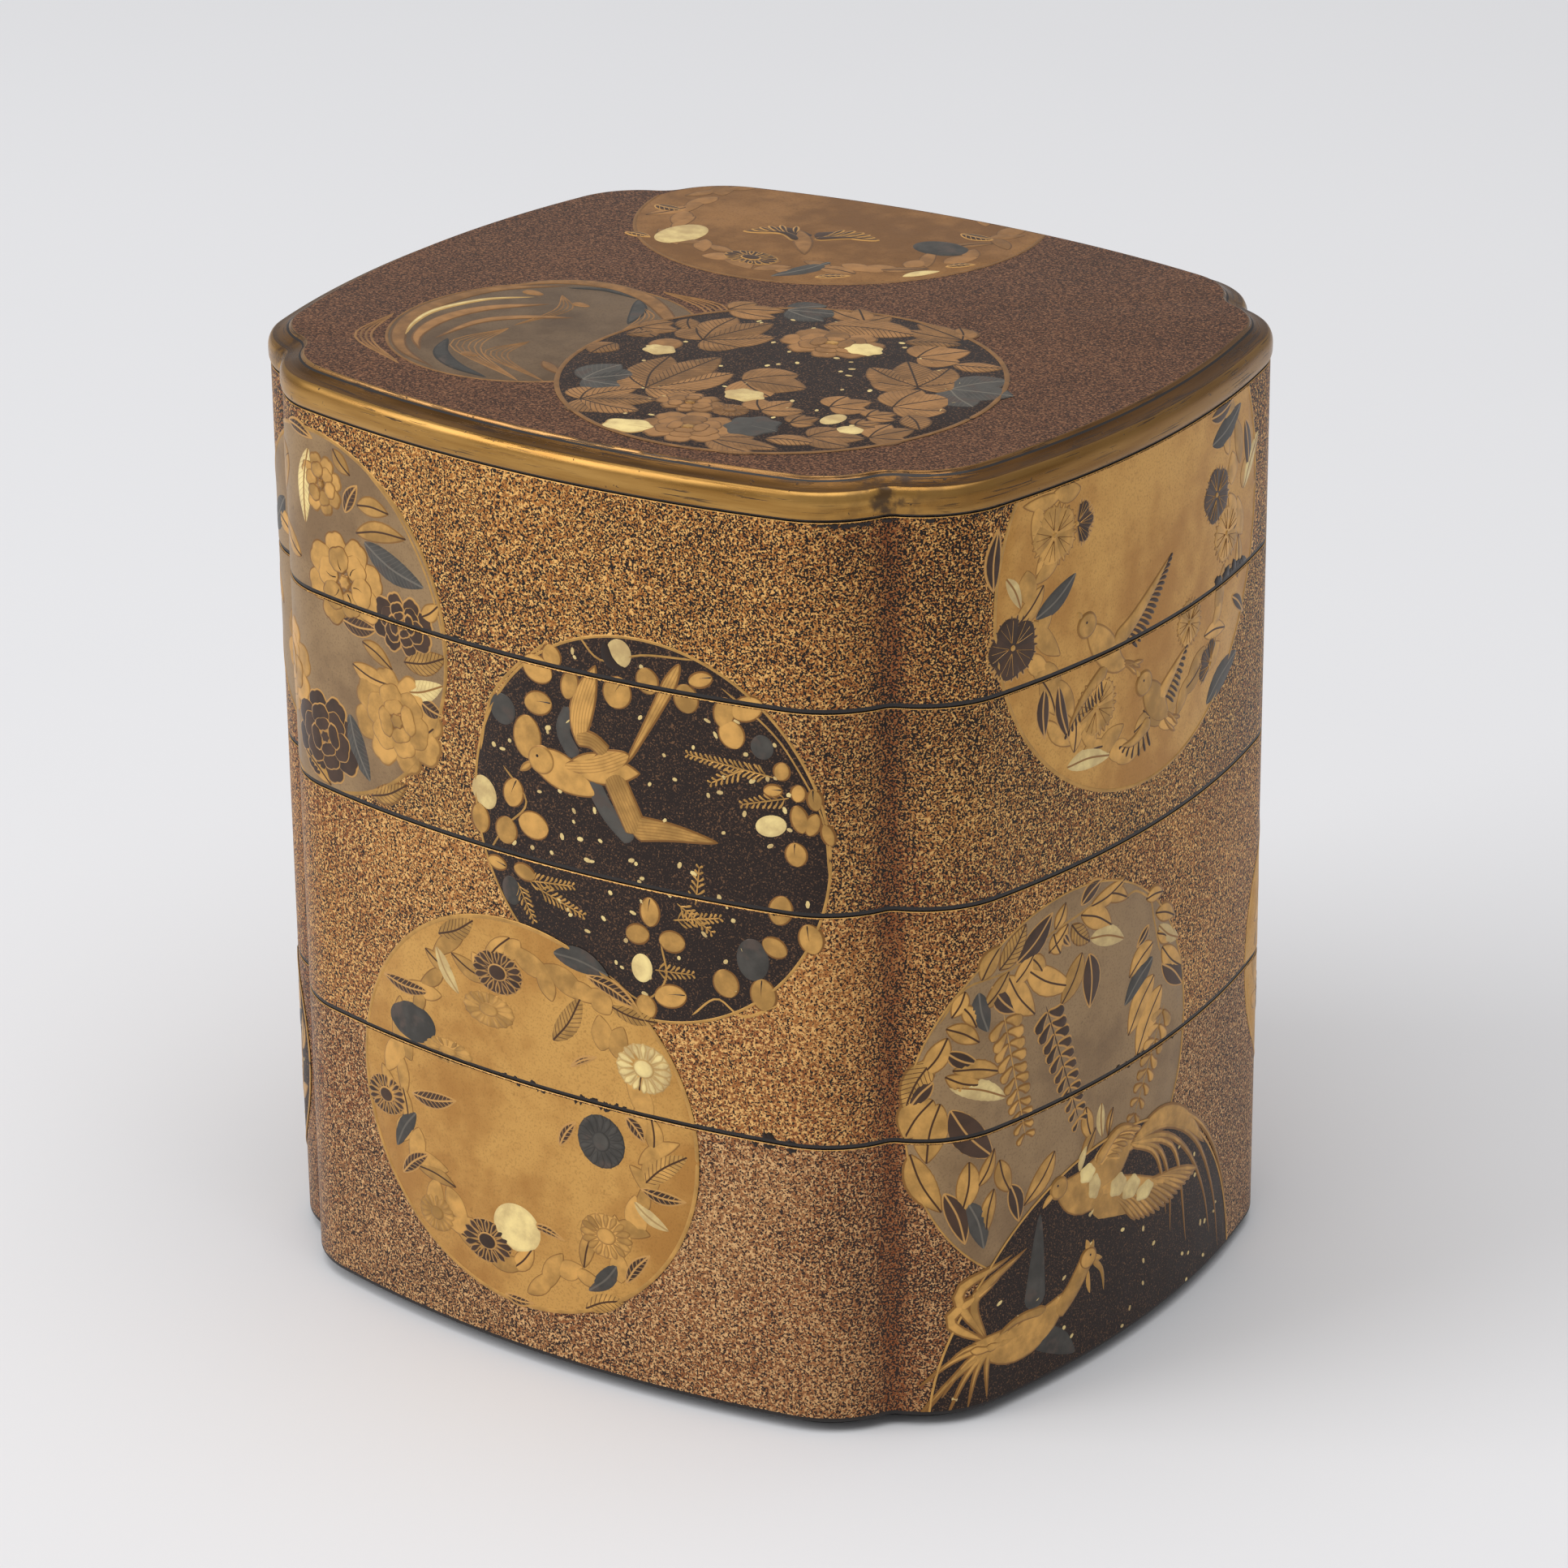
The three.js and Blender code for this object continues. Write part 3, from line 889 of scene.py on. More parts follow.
def raised(name, face, mark, line, metal, roughness, blotch=None):
    """Lacquer of one tone with marks in another: a midrib with side veins that slant from it, or
    where veins is 2 fine lines along the feather instead, and a thin outline."""
    finish = Finish(name)
    grain = finish.split(finish.attribute("grain"))
    kind = finish.split(finish.attribute("kind"))
    across = grain.other("Y").math("ABSOLUTE")
    edge = grain.other("Z")
    veins = kind.other("Y")
    plain = veins.math("LESS_THAN", 1.5)
    midrib = across.rising(0.3, 0.14) * (veins * 2).math("MINIMUM", 1) * plain
    slant = (grain - across * 0.9) * (2 * math.pi / VEIN_PITCH)
    side_veins = slant.math("SINE").rising(0.72, 0.95) * (veins * 1.6 - 0.8).math("MAXIMUM", 0) * plain
    barbs = (grain.other("Y") * (2 * math.pi / BARB_PITCH)).math("SINE").rising(0.3, 0.8) * (1 - plain)
    outline = edge.rising(OUTLINE_EDGE, OUTLINE_FULL) * kind.other("Z")
    marks = midrib.math("MAXIMUM", side_veins)
    lines = outline.math("MAXIMUM", barbs * 0.4)
    clouds = finish.noise(3.5, 4)
    powder = finish.noise(0.5, 2)
    dim = tuple(0.58 * part for part in face[:3]) + (1,)
    pale = tuple(min(1, 1.22 * part) for part in face[:3]) + (1,)
    body = finish.mixed((clouds * 1.3 + kind * 0.5 + powder * 0.2 - 0.5).rising(0, 1), dim, pale)
    # Painted shade: each mound darker within about a millimetre of its edge.
    body = finish.mixed(edge.rising(1.2, 0.3) * 0.3, body, dim)
    if blotch:
        body = finish.mixed(finish.noise(5, 3).rising(0.52, 0.66), body, blotch)
    finish.feed(finish.shader, {
        "Base Color": finish.mixed(marks, finish.mixed(lines, body, line), mark),
        "Metallic": metal - marks * (0.6 * metal),
        "Roughness": roughness + (powder - 0.5) * 0.15,
        "Normal": finish.bumped(powder * 0.2 - marks - outline, 0.05),
        "Specular IOR Level": 0.3,
    })
    return finish.material


def polished(name, dim, bright, roughness, metal):
    """A smooth ground of fine powder under clear lacquer: soft clouds between two near tones."""
    finish = Finish(name)
    cloud = (finish.noise(28, 4) + finish.noise(5, 3) * 0.4 - 0.2).rising(0.32, 0.66)
    darker = tuple(0.7 * part for part in dim[:3]) + (1,)
    powder = finish.noise(0.5, 1).rising(0.5, 0.3) * 0.35
    body = finish.mixed(powder, finish.mixed(cloud, dim, bright), darker)
    finish.feed(finish.shader, {
        "Base Color": finish.mixed(finish.noise(1.3, 2).rising(0.7, 0.76) * 0.5, body, darker),
        "Metallic": metal,
        "Roughness": finish.noise(6) * 0.1 + roughness,
        "Specular IOR Level": 0.3,
    })
    return finish.material


FINISHES = {
    "gold_ground": (polished("gold_ground", tint(180, 128, 62), tint(210, 160, 86), 0.36, 0.4),
                    "gold_lacquer"),
    "bronze_ground": (polished("bronze_ground", tint(122, 84, 46), tint(154, 110, 64), 0.4, 0.15),
                      "gold_lacquer"),
    "olive_ground": (polished("olive_ground", tint(132, 104, 72), tint(158, 128, 90), 0.38, 0.12),
                     "olive_lacquer"),
    "dun_ground": (polished("dun_ground", tint(92, 72, 52), tint(114, 92, 68), 0.4, 0.05),
                   "olive_lacquer"),
    "dark_ground": (sprinkled("dark_ground", tint(38, 26, 21), tint(60, 42, 32), tint(112, 80, 54), 0.4,
                              0.41, clouding=0.2, roughness=0.42, metal=0.05), "dark_lacquer"),
    "gold": (raised("raised_gold", tint(208, 158, 86), tint(72, 44, 22), tint(128, 86, 42), 0.45, 0.38),
             "gold_lacquer"),
    "bronze": (raised("raised_bronze", tint(164, 118, 70), tint(58, 40, 26), tint(92, 64, 38), 0.2, 0.42),
               "gold_lacquer"),
    "foil": (raised("gold_foil", tint(248, 210, 142), tint(150, 104, 48), tint(176, 130, 64), 0.1, 0.36),
             "gold_foil"),
    "silver": (raised("tarnished_silver", tint(80, 76, 70), tint(116, 108, 96), tint(50, 47, 43), 0.2, 0.42,
                      tint(88, 76, 68)), "silver_foil"),
    "dark": (raised("dark_leaf", tint(72, 50, 35), tint(200, 150, 84), tint(196, 146, 80), 0.1, 0.36),
             "dark_lacquer"),
    "dust": (raised("gold_line", tint(206, 156, 90), tint(206, 156, 90), tint(206, 156, 90), 0.3, 0.36),
             "gold_lacquer"),
    "umber": (raised("umber_line", tint(126, 84, 42), tint(126, 84, 42), tint(126, 84, 42), 0.3, 0.36),
              "gold_lacquer"),
    "black": (raised("black_line", tint(40, 26, 17), tint(40, 26, 17), tint(40, 26, 17), 0.0, 0.34),
              "dark_lacquer"),
}

# Second and third tiers, left face: a large bird over ferns and round leaves, on a dark ground
# strewn with foil.
berries = Picture("wall", (29, 130.6), 43, 0.05)
berries.ground("dark_ground")
berries.rim("gold", 0.7)
berries.flakes(90, 1.3)
for s, z, wide, tall, slit in [
        (7.6, 165.4, 5.5, 5.5, 0), (23.7, 160.6, 7.5, 7.5, 1), (31, 164.5, 6, 6, 0),
        (40, 162.2, 6.5, 6.5, 0), (43.4, 166.9, 6, 4, 1), (3.8, 161.9, 8, 7, 0), (12, 160, 5, 7, 0),
        (3.8, 154.2, 7.4, 6, 1), (0.7, 146, 8, 10, 0), (48.7, 160.6, 5.5, 7, 0),
        (50.3, 156.1, 6.6, 6.6, 0), (53.8, 162.2, 8, 6, 0), (61.4, 149.6, 4.3, 4.3, 0),
        (59.4, 145.1, 4.5, 3.4, 1), (65, 145.2, 4, 4, 0), (68.5, 144, 4, 5, 1),
        (65.2, 139.5, 4.5, 6.4, 0), (68, 138.5, 4, 5.4, 0), (71.2, 136.3, 3.4, 5.4, 0),
        (64.4, 131.6, 5.5, 5.5, 1), (-3.4, 132.4, 6, 7, 1), (1.7, 126.1, 8, 7, 0),
        (-5.6, 123.3, 6.5, 6.5, 0), (-12.6, 124.4, 5.6, 7, 0), (60.8, 118.6, 6, 7, 0),
        (-8.4, 115.2, 5.4, 3.8, 1), (-1, 114.8, 6, 4.4, 0), (30.5, 112.7, 5.4, 6.8, 1),
        (27.4, 107.1, 6, 5.2, 0), (35.7, 107, 6.4, 5.6, 0), (59.4, 110, 6, 5.2, 0),
        (67.4, 112.9, 6, 7, 1), (48.2, 99.9, 6.6, 6.6, 0), (56.7, 98.8, 6.6, 7.4, 1),
        (35.1, 94.4, 8, 6, 1), (29.1, 90.7, 5.8, 5.8, 0)]:
    berries.round_leaf("gold", (s, z), wide, tall, slit, outline=0.95)
for s, z, wide, tall in [(24.3, 169.3, 6.4, 6.4), (58.9, 137.2, 7.2, 5), (-11.3, 130.6, 6.6, 7.8),
                         (28.3, 99.5, 5.4, 6.6)]:
    berries.round_leaf("foil", (s, z), wide, tall)
berries.blade("black", ((20.9, 171.4), (22, 167.6), (26, 166)), 3.4, pointed, rise=0.17)
for s, z, wide, tall in [(-5.6, 150.8, 7, 7), (57.1, 154.3, 5.4, 5.4), (-4.7, 109.7, 5.2, 6.6),
                         (54.4, 106.4, 7.8, 9.6)]:
    berries.round_leaf("silver", (s, z), wide, tall)
for stem in [
        ((60, 148), (50, 149), (40, 150)), ((53, 148.8), (45.5, 144.6)), ((63, 144), (52.5, 141)),
        ((-1, 113), (11.5, 114.5)), ((2, 112), (14, 108.4)), ((-3, 112), (1, 104.2)),
        ((41.4, 116.4), (42.4, 125)), ((36, 112), (47, 114.5)), ((37, 116), (45, 111)),
        ((31.4, 99.7), (40.3, 100.4))]:
    berries.fern("gold", stem)
for points, width in [
        (((12.2, 154.8), (10, 149.4), (13, 144)), 4.2), (((16.6, 140), (21, 133), (26.6, 128)), 4.8)]:
    berries.blade("silver", points, width, even, rise=0.06)
berries.blade("gold", ((25.5, 145), (32.3, 157.3), (38.7, 169.6)), 4.4, plume, rise=0.12, veins=2,
              outline=0.9, rows=24, columns=7)
berries.blade("gold", ((0.5, 141.8), (8, 140.4), (18.5, 136.4)), 9.0, pointed, rise=0.14, outline=0.9,
              rows=24, columns=9)
berries.blade("gold", ((11, 142), (20, 142.8), (29, 143.6)), 7.6, pointed, rise=0.16, outline=0.9,
              rows=20, columns=9)
for points, width, shape in [
        (((20.8, 146.4), (17.4, 148.6), (13.4, 148.6)), 4.2, even),
        (((14, 146.6), (14.8, 155), (18.6, 165.8)), 6.4, pointed),
        (((22, 142.4), (25, 136.2), (28, 130)), 6.2, even),
        (((26.2, 131), (36, 131.8), (47, 131.4)), 6.6, taper)]:
    berries.blade("gold", points, width, shape, rise=0.18, veins=2, outline=0.9, rows=24, columns=9)
berries.blade("gold", ((9.4, 141.2), (18.3, 143.2), (26.4, 147.2)), 6.4, petal, rise=0.25, veins=2,
              outline=0.9, rows=24, columns=9)
berries.boss("gold", (4.3, 141.6), (3.6, 3.4), rise=0.28, outline=0.5)
berries.leaf("gold", (2, 140.6), (-1.4, 137.9), 1.7, bend=0, rise=0.2, outline=0.6)
berries.boss("black", (3.4, 142.4), (0.45, 0.45), rise=0.34, sectors=10, rings=2)
for points in [
        ((-12, 140), (-9, 152), (-3, 160), (6, 168)), ((14, 172), (20, 167), (30, 170), (42, 171)),
        ((48, 166), (58, 159), (64, 152), (70, 140), (71.5, 126)),
        ((40, 91), (46, 96), (52, 93), (60, 97)), ((20, 96), (28, 92), (34, 98), (33, 106)),
        ((-10, 118), (-6, 124), (0, 131), (-6, 138))]:
    berries.line("gold", points, 0.7)

# Third and bottom tiers, left face: chrysanthemums and leaves on a gold ground, laid over the dark
# picture above it. The flowers are dark, foil and silver lacquer, most leaves gold on gold.
autumn = Picture("wall", (-4.7, 56.8), 46, 0.2)
autumn.ground("gold_ground")
autumn.rim("gold", 1.0)
autumn.wreath("gold", 52)
for base, tip, width in [
        ((-26, 94), (-16, 99.7), 5), ((5.3, 77.3), (12.7, 89), 5), ((20.3, 89), (31.3, 87.7), 3.4),
        ((27.3, 48.3), (38, 57.3), 5), ((12, 15), (21.7, 19.3), 4)]:
    autumn.leaf("gold", base, tip, width, veins=1, rise=0.1)
for base, tip, width in [
        ((-43.5, 79.5), (-28.8, 79.3), 3.6), ((-36, 53), (-22.8, 55.2), 4),
        ((-39.7, 32.5), (-31.3, 39.5), 3.6), ((6.3, 52.7), (10.7, 59.3), 2.8),
        ((23.5, 64), (28, 59), 3.4), ((26.7, 47.7), (37.7, 47), 3.2), ((22.7, 24), (28.7, 31.9), 3.2),
        ((9.7, 72.3), (16.5, 76.1), 1.8), ((14.3, 94.7), (26.7, 90), 3.6),
        ((-2.3, 31.5), (6.7, 30.1), 2.2), ((-10, 12.3), (-2, 12.3), 2.5)]:
    autumn.leaf("dark", base, tip, width, veins=1, outline=1)
for finish, base, tip, width in [
        ("foil", (-26.7, 91.2), (-20.7, 81.7), 3.4), ("foil", (25, 44.3), (33.3, 39.3), 3),
        ("silver", (6, 98), (19.3, 96), 5), ("silver", (-34.8, 48.5), (-41, 39), 4.2),
        ("silver", (20.8, 28), (13.3, 20), 4)]:
    autumn.leaf(finish, base, tip, width, veins=0.3)
autumn.boss("silver", (-34.7, 70.5), (7.2, 4.8))
autumn.boss("foil", (-6, 29.5), (6.7, 5.9))
for spot, wide, tall in [((-9.2, 89.5), 7.3, 5.4), ((-44, 50.1), 6.3, 5.1), ((-14.5, 23.8), 7.4, 5.5)]:
    autumn.chrysanthemum("dark", "dark", spot, wide, tall)
autumn.chrysanthemum("foil", "foil", (28.3, 76.2), 7.1, 6.1, outline=0.7)
autumn.chrysanthemum("silver", "silver", (17.2, 56.5), 6.3, 6.6, outline=0.7)
autumn.chrysanthemum("gold", "gold", (17.9, 34.1), 7, 5.6, outline=0.5)
autumn.chrysanthemum("gold", "gold", (-12, 80), 7.5, 4.2, outline=0.3)
autumn.chrysanthemum("gold", "gold", (-24.3, 66.7), 7.5, 3, outline=0.3)
autumn.chrysanthemum("gold", "gold", (-29.3, 26), 5.5, 4.6, outline=0.3)

# Third and bottom tiers, right face: wisteria on an olive ground. One stem runs round the top, its
# leaves are gold, foil, silver and dark, and three racemes of paired buds hang from it.
wisteria = Picture("wall", (131, 69), 44, 0.06)
wisteria.ground("olive_ground")
wisteria.rim("gold", 0.5)
wisteria.line("gold", ((94.5, 92), (100.7, 99.7), (113, 100.8), (124.6, 105.1), (134, 106.6),
                       (145.6, 109.1)), 0.9)
wisteria.line("gold", ((145.6, 107.3), (149, 104.8), (153.6, 105), (159.4, 100.8), (160.8, 96.4),
                       (163.7, 87)), 0.8)


def raceme(picture, finish, base, tip, outline=0.0, pairs=11):
    """A hanging raceme: a thin stalk with buds in pairs, each pair smaller towards the tip."""
    base, tip = np.array(base, float), np.array(tip, float)
    picture.line(finish, (base, tip), 0.5)
    down = (tip - base) / np.hypot(*(tip - base))
    aside = leftward(down)
    for part in np.linspace(0.06, 1, pairs):
        spot = base + part * (tip - base)
        size = 6.6 - 2.8 * part
        for side in (-1, 1):
            picture.leaf(finish, spot, spot + size * (0.72 * side * aside + 0.45 * down), 0.72 * size,
                         shape=plume, outline=outline, rise=0.14, rows=10)


for base, tip, width, veins in [
        ((104.3, 100.4), (109.4, 107), 4, 0), ((109, 101.5), (116.6, 109.5), 4.5, 1),
        ((125.7, 105.5), (129, 110.6), 3, 0), ((137, 107), (149.6, 109.5), 3.4, 0),
        ((134, 106.2), (144.5, 100.4), 4.4, 0), ((131, 105), (137, 99.3), 3.6, 1),
        ((125.3, 104.8), (127.5, 99.7), 3.4, 0), ((116.6, 99.7), (131, 91), 5, 0.5),
        ((111.5, 99.7), (119.5, 88.5), 5, 0), ((134.7, 97.5), (128, 87.7), 4.6, 0),
        ((99.6, 95.7), (103, 90.3), 3, 0), ((96, 91), (103.6, 86.7), 3.6, 0),
        ((97.4, 81.2), (109.4, 78.3), 3.6, 0), ((93.8, 84.8), (87.3, 72.5), 4.6, 1),
        ((93.4, 75), (87.3, 66), 6, 0), ((94.9, 74), (92, 60.6), 6, 0), ((88.3, 62.4), (94.9, 49), 5, 0),
        ((101.4, 59.5), (99.6, 47.9), 4.4, 0), ((109.4, 57.7), (112.6, 49.3), 3.8, 0),
        ((107.9, 51.5), (105.7, 41.4), 3.2, 0), ((126.4, 54), (117, 44.6), 4.2, 0),
        ((136.5, 60.6), (138.7, 52.2), 3.4, 0), ((146.2, 57), (144.5, 50.8), 2, 0),
        ((161.5, 97), (169.5, 93.5), 3.4, 0), ((160.8, 90.6), (151.8, 85.6), 4.6, 0),
        ((112, 100.6), (104.8, 94), 3.6, 0), ((120, 103), (112.8, 96.6), 3.8, 0),
        ((118, 102), (122.5, 96), 3.4, 0), ((130, 105.6), (124, 101), 3.2, 0),
        ((100.4, 99), (97.4, 93.5), 3.2, 0), ((141, 108.6), (150.5, 104.6), 3.4, 0),
        ((96.5, 89), (90.8, 80.6), 4, 0), ((95.8, 80), (105, 76.6), 3.4, 0),
        ((103.5, 53), (107.8, 60.6), 3, 0), ((162.2, 92), (168.6, 88), 3.4, 0),
        ((157.6, 101.6), (164.4, 101), 3, 0), ((140, 54.5), (135.5, 47), 3, 0),
        ((161.5, 82.7), (151.8, 72.2), 5.6, 0), ((164.8, 79), (155, 66), 6, 0),
        ((164.4, 88), (173.5, 80), 4.4, 0)]:
    wisteria.leaf("gold", base, tip, 1.25 * width, veins=max(veins, 0.5), outline=0.8)
for base, tip, width in [
        ((114, 101.5), (124.6, 109.5), 4.8), ((134, 108.4), (141, 112), 3.2),
        ((128, 104.4), (130.7, 100.4), 2), ((107, 98.6), (114, 90.6), 3.6),
        ((137, 96.4), (137.3, 84), 4.8), ((96, 85.6), (103.6, 81.6), 3.2), ((97, 72.2), (107.2, 59.5), 6),
        ((93.4, 79), (88.3, 73), 3.4), ((95.6, 53), (100.3, 40.6), 4),
        ((112.6, 50.8), (115.2, 41.4), 3.8), ((159, 95.3), (154.3, 91.7), 2.4),
        ((164.4, 84), (173.5, 76), 5)]:
    wisteria.leaf("dark", base, tip, 1.2 * width, veins=0.5, outline=1)
for finish, base, tip, width in [
        ("foil", (137.3, 99.7), (148.9, 95.7), 4.6), ("foil", (96.7, 77.6), (110.8, 71.9), 4.6),
        ("foil", (142, 59.5), (142.3, 51.5), 2.8), ("foil", (163, 93.5), (171.3, 87.7), 3.6),
        ("silver", (103.6, 98), (106, 88.8), 4.6), ("silver", (101, 50), (105, 38.5), 5),
        ("silver", (160.8, 87), (150.3, 79.8), 5)]:
    wisteria.leaf(finish, base, tip, width, veins=0.5)
raceme(wisteria, "gold", (110.4, 91.4), (117, 61.3), outline=0.8)
raceme(wisteria, "dark", (123, 89.2), (134, 58.8), outline=1)
raceme(wisteria, "gold", (165.9, 74), (154.5, 52.2), outline=0.8, pairs=8)

# Bottom tier, right face: two long-tailed birds over a dark ground strewn with foil, laid over the
# wisteria and cut off by the tier's lower edge. Wings and tails are single feathers side by side.
pheasants = Picture("wall", (146.5, -4), 54.5, 0.2)
pheasants.ground("dark_ground")
pheasants.rim("gold", 0.6)
pheasants.flakes(110, 1.35)
pheasants.leaf("silver", (120, 18.2), (121.7, 41), 8, shape=taper, bend=0, rise=0.08)
for tip, middle in [((113.7, 34.1), (99, 29)), ((118, 34.1), (103, 27)), ((110, 30), (97, 23))]:
    pheasants.blade("gold", ((106, 15.5), middle, tip), 3.0, pointed, rise=0.12, outline=0.8, rows=22)
for tip in [(88, -3), (91.5, 0.5), (95, 4), (90, 7), (96, -1), (101, 0.5), (106, 2), (95, 11)]:
    middle = (np.array(tip) + (106, 15)) / 2 + (0, 2)
    pheasants.blade("gold", ((108, 15), middle, tip), 2.6, taper, rise=0.12, outline=0.8, rows=16)
pheasants.leaf("silver", (118, 11), (133, 3), 6, bend=0.1, rise=0.08)
pheasants.blade("gold", ((102, 16), (112, 12.6), (122, 13.5), (132, 19)), 10, pointed, rise=0.18,
                outline=0.8, rows=24, columns=9)
for step in range(5):
    pheasants.leaf("gold", (124 - 3.6 * step, 15.6 - 0.4 * step), (116 - 3.6 * step, 12.6 + 0.5 * step), 3.4,
                   shape=plume, rise=0.2 + 0.012 * step, outline=0.8, bend=0.05)
pheasants.wing("gold", ((124, 17), (114, 17.5), (104, 13)), 5.5, side=1)
pheasants.blade("gold", ((127, 14.5), (132.5, 18.5), (137.4, 24)), 5.4, even, rise=0.2, outline=0.8, rows=18)
pheasants.boss("gold", (137.6, 24), (3.1, 2.7), rise=0.25, outline=0.8, sectors=24)
pheasants.boss("black", (138.2, 24.6), (0.4, 0.4), rise=0.29, sectors=10, rings=2)
for tip in [(137, 28.5), (139.5, 27.6), (142.6, 22.2)]:
    pheasants.leaf("gold", (137.8, 24.5), tip, 1.7, rise=0.15, rows=8)
pheasants.blade("gold", ((139.6, 22.6), (142.6, 19), (143.4, 13.8)), 2.0, taper, rise=0.12, rows=12)
pheasants.leaf("gold", (137.8, 21), (138.4, 15.3), 1.4, rise=0.15, rows=8)
for middle, tip in [
        (((169.5, 46.4), (185.4, 36.3), (196.3, 19.6)), (200.7, 0.8)),
        (((168, 44), (182, 34), (191, 18)), (194.9, 1.5)),
        (((167, 42), (178, 33), (186, 20)), (189.8, 7.3)), (((166, 41), (173, 33)), (177.5, 11)),
        (((164, 40), (169, 30)), (170, 16.7)), (((162, 40), (166, 32)), (168, 21.8))]:
    pheasants.blade("gold", ((152, 46), *middle, tip), 2.4, taper, rise=0.14, outline=0.8, rows=26)
pheasants.blade("gold", ((150, 44), (164, 47), (176, 42), (186, 32)), 6, pointed, rise=0.17,
                outline=0.8, rows=26)
pheasants.blade("gold", ((126.5, 44.6), (134.7, 41), (142, 42), (155, 48)), 12.5, pointed, rise=0.18,
                outline=0.8, rows=24, columns=9)
pheasants.wing("gold", ((139, 40), (152, 36.5), (166, 31), (183, 27.6)), 8.5, side=-1)
for spot, wide, tall in [((148, 37.5), 7, 6), ((153, 35), 8, 6), ((158.5, 32), 8, 5)]:
    pheasants.lobed("foil", spot, wide, tall, lobes=5, rise=0.24)
pheasants.wing("gold", ((140, 45.5), (148, 50.5), (157, 48)), 7, side=-1, rise=0.2)
for spot, wide, tall in [((137, 44.5), 6, 5), ((139.4, 40.6), 5, 7)]:
    pheasants.lobed("foil", spot, wide, tall, lobes=5, rise=0.24)
pheasants.leaf("foil", (134.4, 46), (136.6, 51), 2, rise=0.24)
pheasants.boss("gold", (127.6, 44.6), (3, 2.8), rise=0.26, outline=0.5, sectors=20)
pheasants.leaf("gold", (126.4, 44), (122.6, 41.6), 1.6, rise=0.2, rows=8)
pheasants.boss("dark", (127, 45.4), (0.4, 0.4), rise=0.29, sectors=10, rings=2)

# Top and second tiers, right face: pinks and two small birds on a gold ground, cut off at the lid.
pinks = Picture("wall", (158, 180), 51, 0.06)
pinks.ground("gold_ground")
pinks.rim("gold", 0.9)
pinks.wreath("gold", 58)
for spot, radius in [((124.6, 193.8), 6.8), ((138.4, 152), 6.8), ((191.7, 174), 6.5), ((174, 159.6), 5.5)]:
    pinks.pink("gold", spot, radius, outline=0.7)
pinks.pink("dark", (112.5, 172.5), 7.2)
pinks.pink("dark", (131.5, 194.4), 5.5, -80, 80, 3)
pinks.pink("dark", (186, 184.4), 6.6)
pinks.pink("dark", (184.4, 146.6), 6, 60, 220, 3)
for finish, base, tip, width in [
        ("foil", (110.5, 188), (114.5, 180.8), 3), ("foil", (129, 141.3), (142.8, 139.7), 4.6),
        ("foil", (200.7, 181), (209.8, 190.8), 4), ("silver", (119, 177), (130.8, 183.5), 4.4),
        ("silver", (183.3, 196.2), (197.8, 201), 5.6), ("silver", (182.6, 137.9), (198, 144.4), 5.4),
        ("dark", (107, 186), (108.3, 198.8), 4), ("dark", (122, 161.5), (122, 150.2), 4),
        ("dark", (126, 161), (129.7, 147.3), 3.6), ("dark", (182, 202.4), (193.5, 203.5), 4),
        ("dark", (200.7, 197), (203.6, 183.6), 4.4), ("dark", (195, 158.5), (202, 152.7), 3.4)]:
    pinks.leaf(finish, base, tip, width, veins=0.5, outline=1 if finish == "dark" else 0)


def songbird(picture, head, body, tail, wings, size=4.6):
    """A small plump bird in flight with dark flight feathers."""
    head, body, tail = (np.array(spot, float) for spot in (head, body, tail))
    for points, width, side in wings:
        picture.wing("dark", points, width, side=side, barred=True)
    for spread in (-1.2, 0, 1.2):
        picture.leaf("gold", body, tail + spread, 1.8, shape=plume, outline=0.7)
    picture.blade("gold", (head, (head + body) / 2, body, (body + tail) / 2), 1.7 * size, pointed,
                  rise=0.2, outline=0.6, rows=20, columns=9)
    picture.boss("gold", head, (0.72 * size, 0.66 * size), rise=0.24, outline=0.6, sectors=24)
    away = (head - body) / np.hypot(*(head - body))
    picture.leaf("gold", head + 0.5 * size * away, head + 1.05 * size * away, 1.2, rise=0.16, rows=8)
    picture.boss("dark", head + (-0.3, 0.7), (0.4, 0.4), rise=0.28, sectors=10, rings=2)


songbird(pinks, (135, 171.2), (145, 160), (154, 156),
         [(((144, 164), (152, 168), (166, 178)), 6.5, -1),
          (((142, 160), (134, 155), (128, 148)), 5, 1)])
songbird(pinks, (155.4, 152), (162, 144), (169.5, 138),
         [(((161, 146), (166, 150), (173.2, 155)), 6, -1),
          (((158, 143), (152, 140), (146.4, 140.4)), 5.5, 1)])

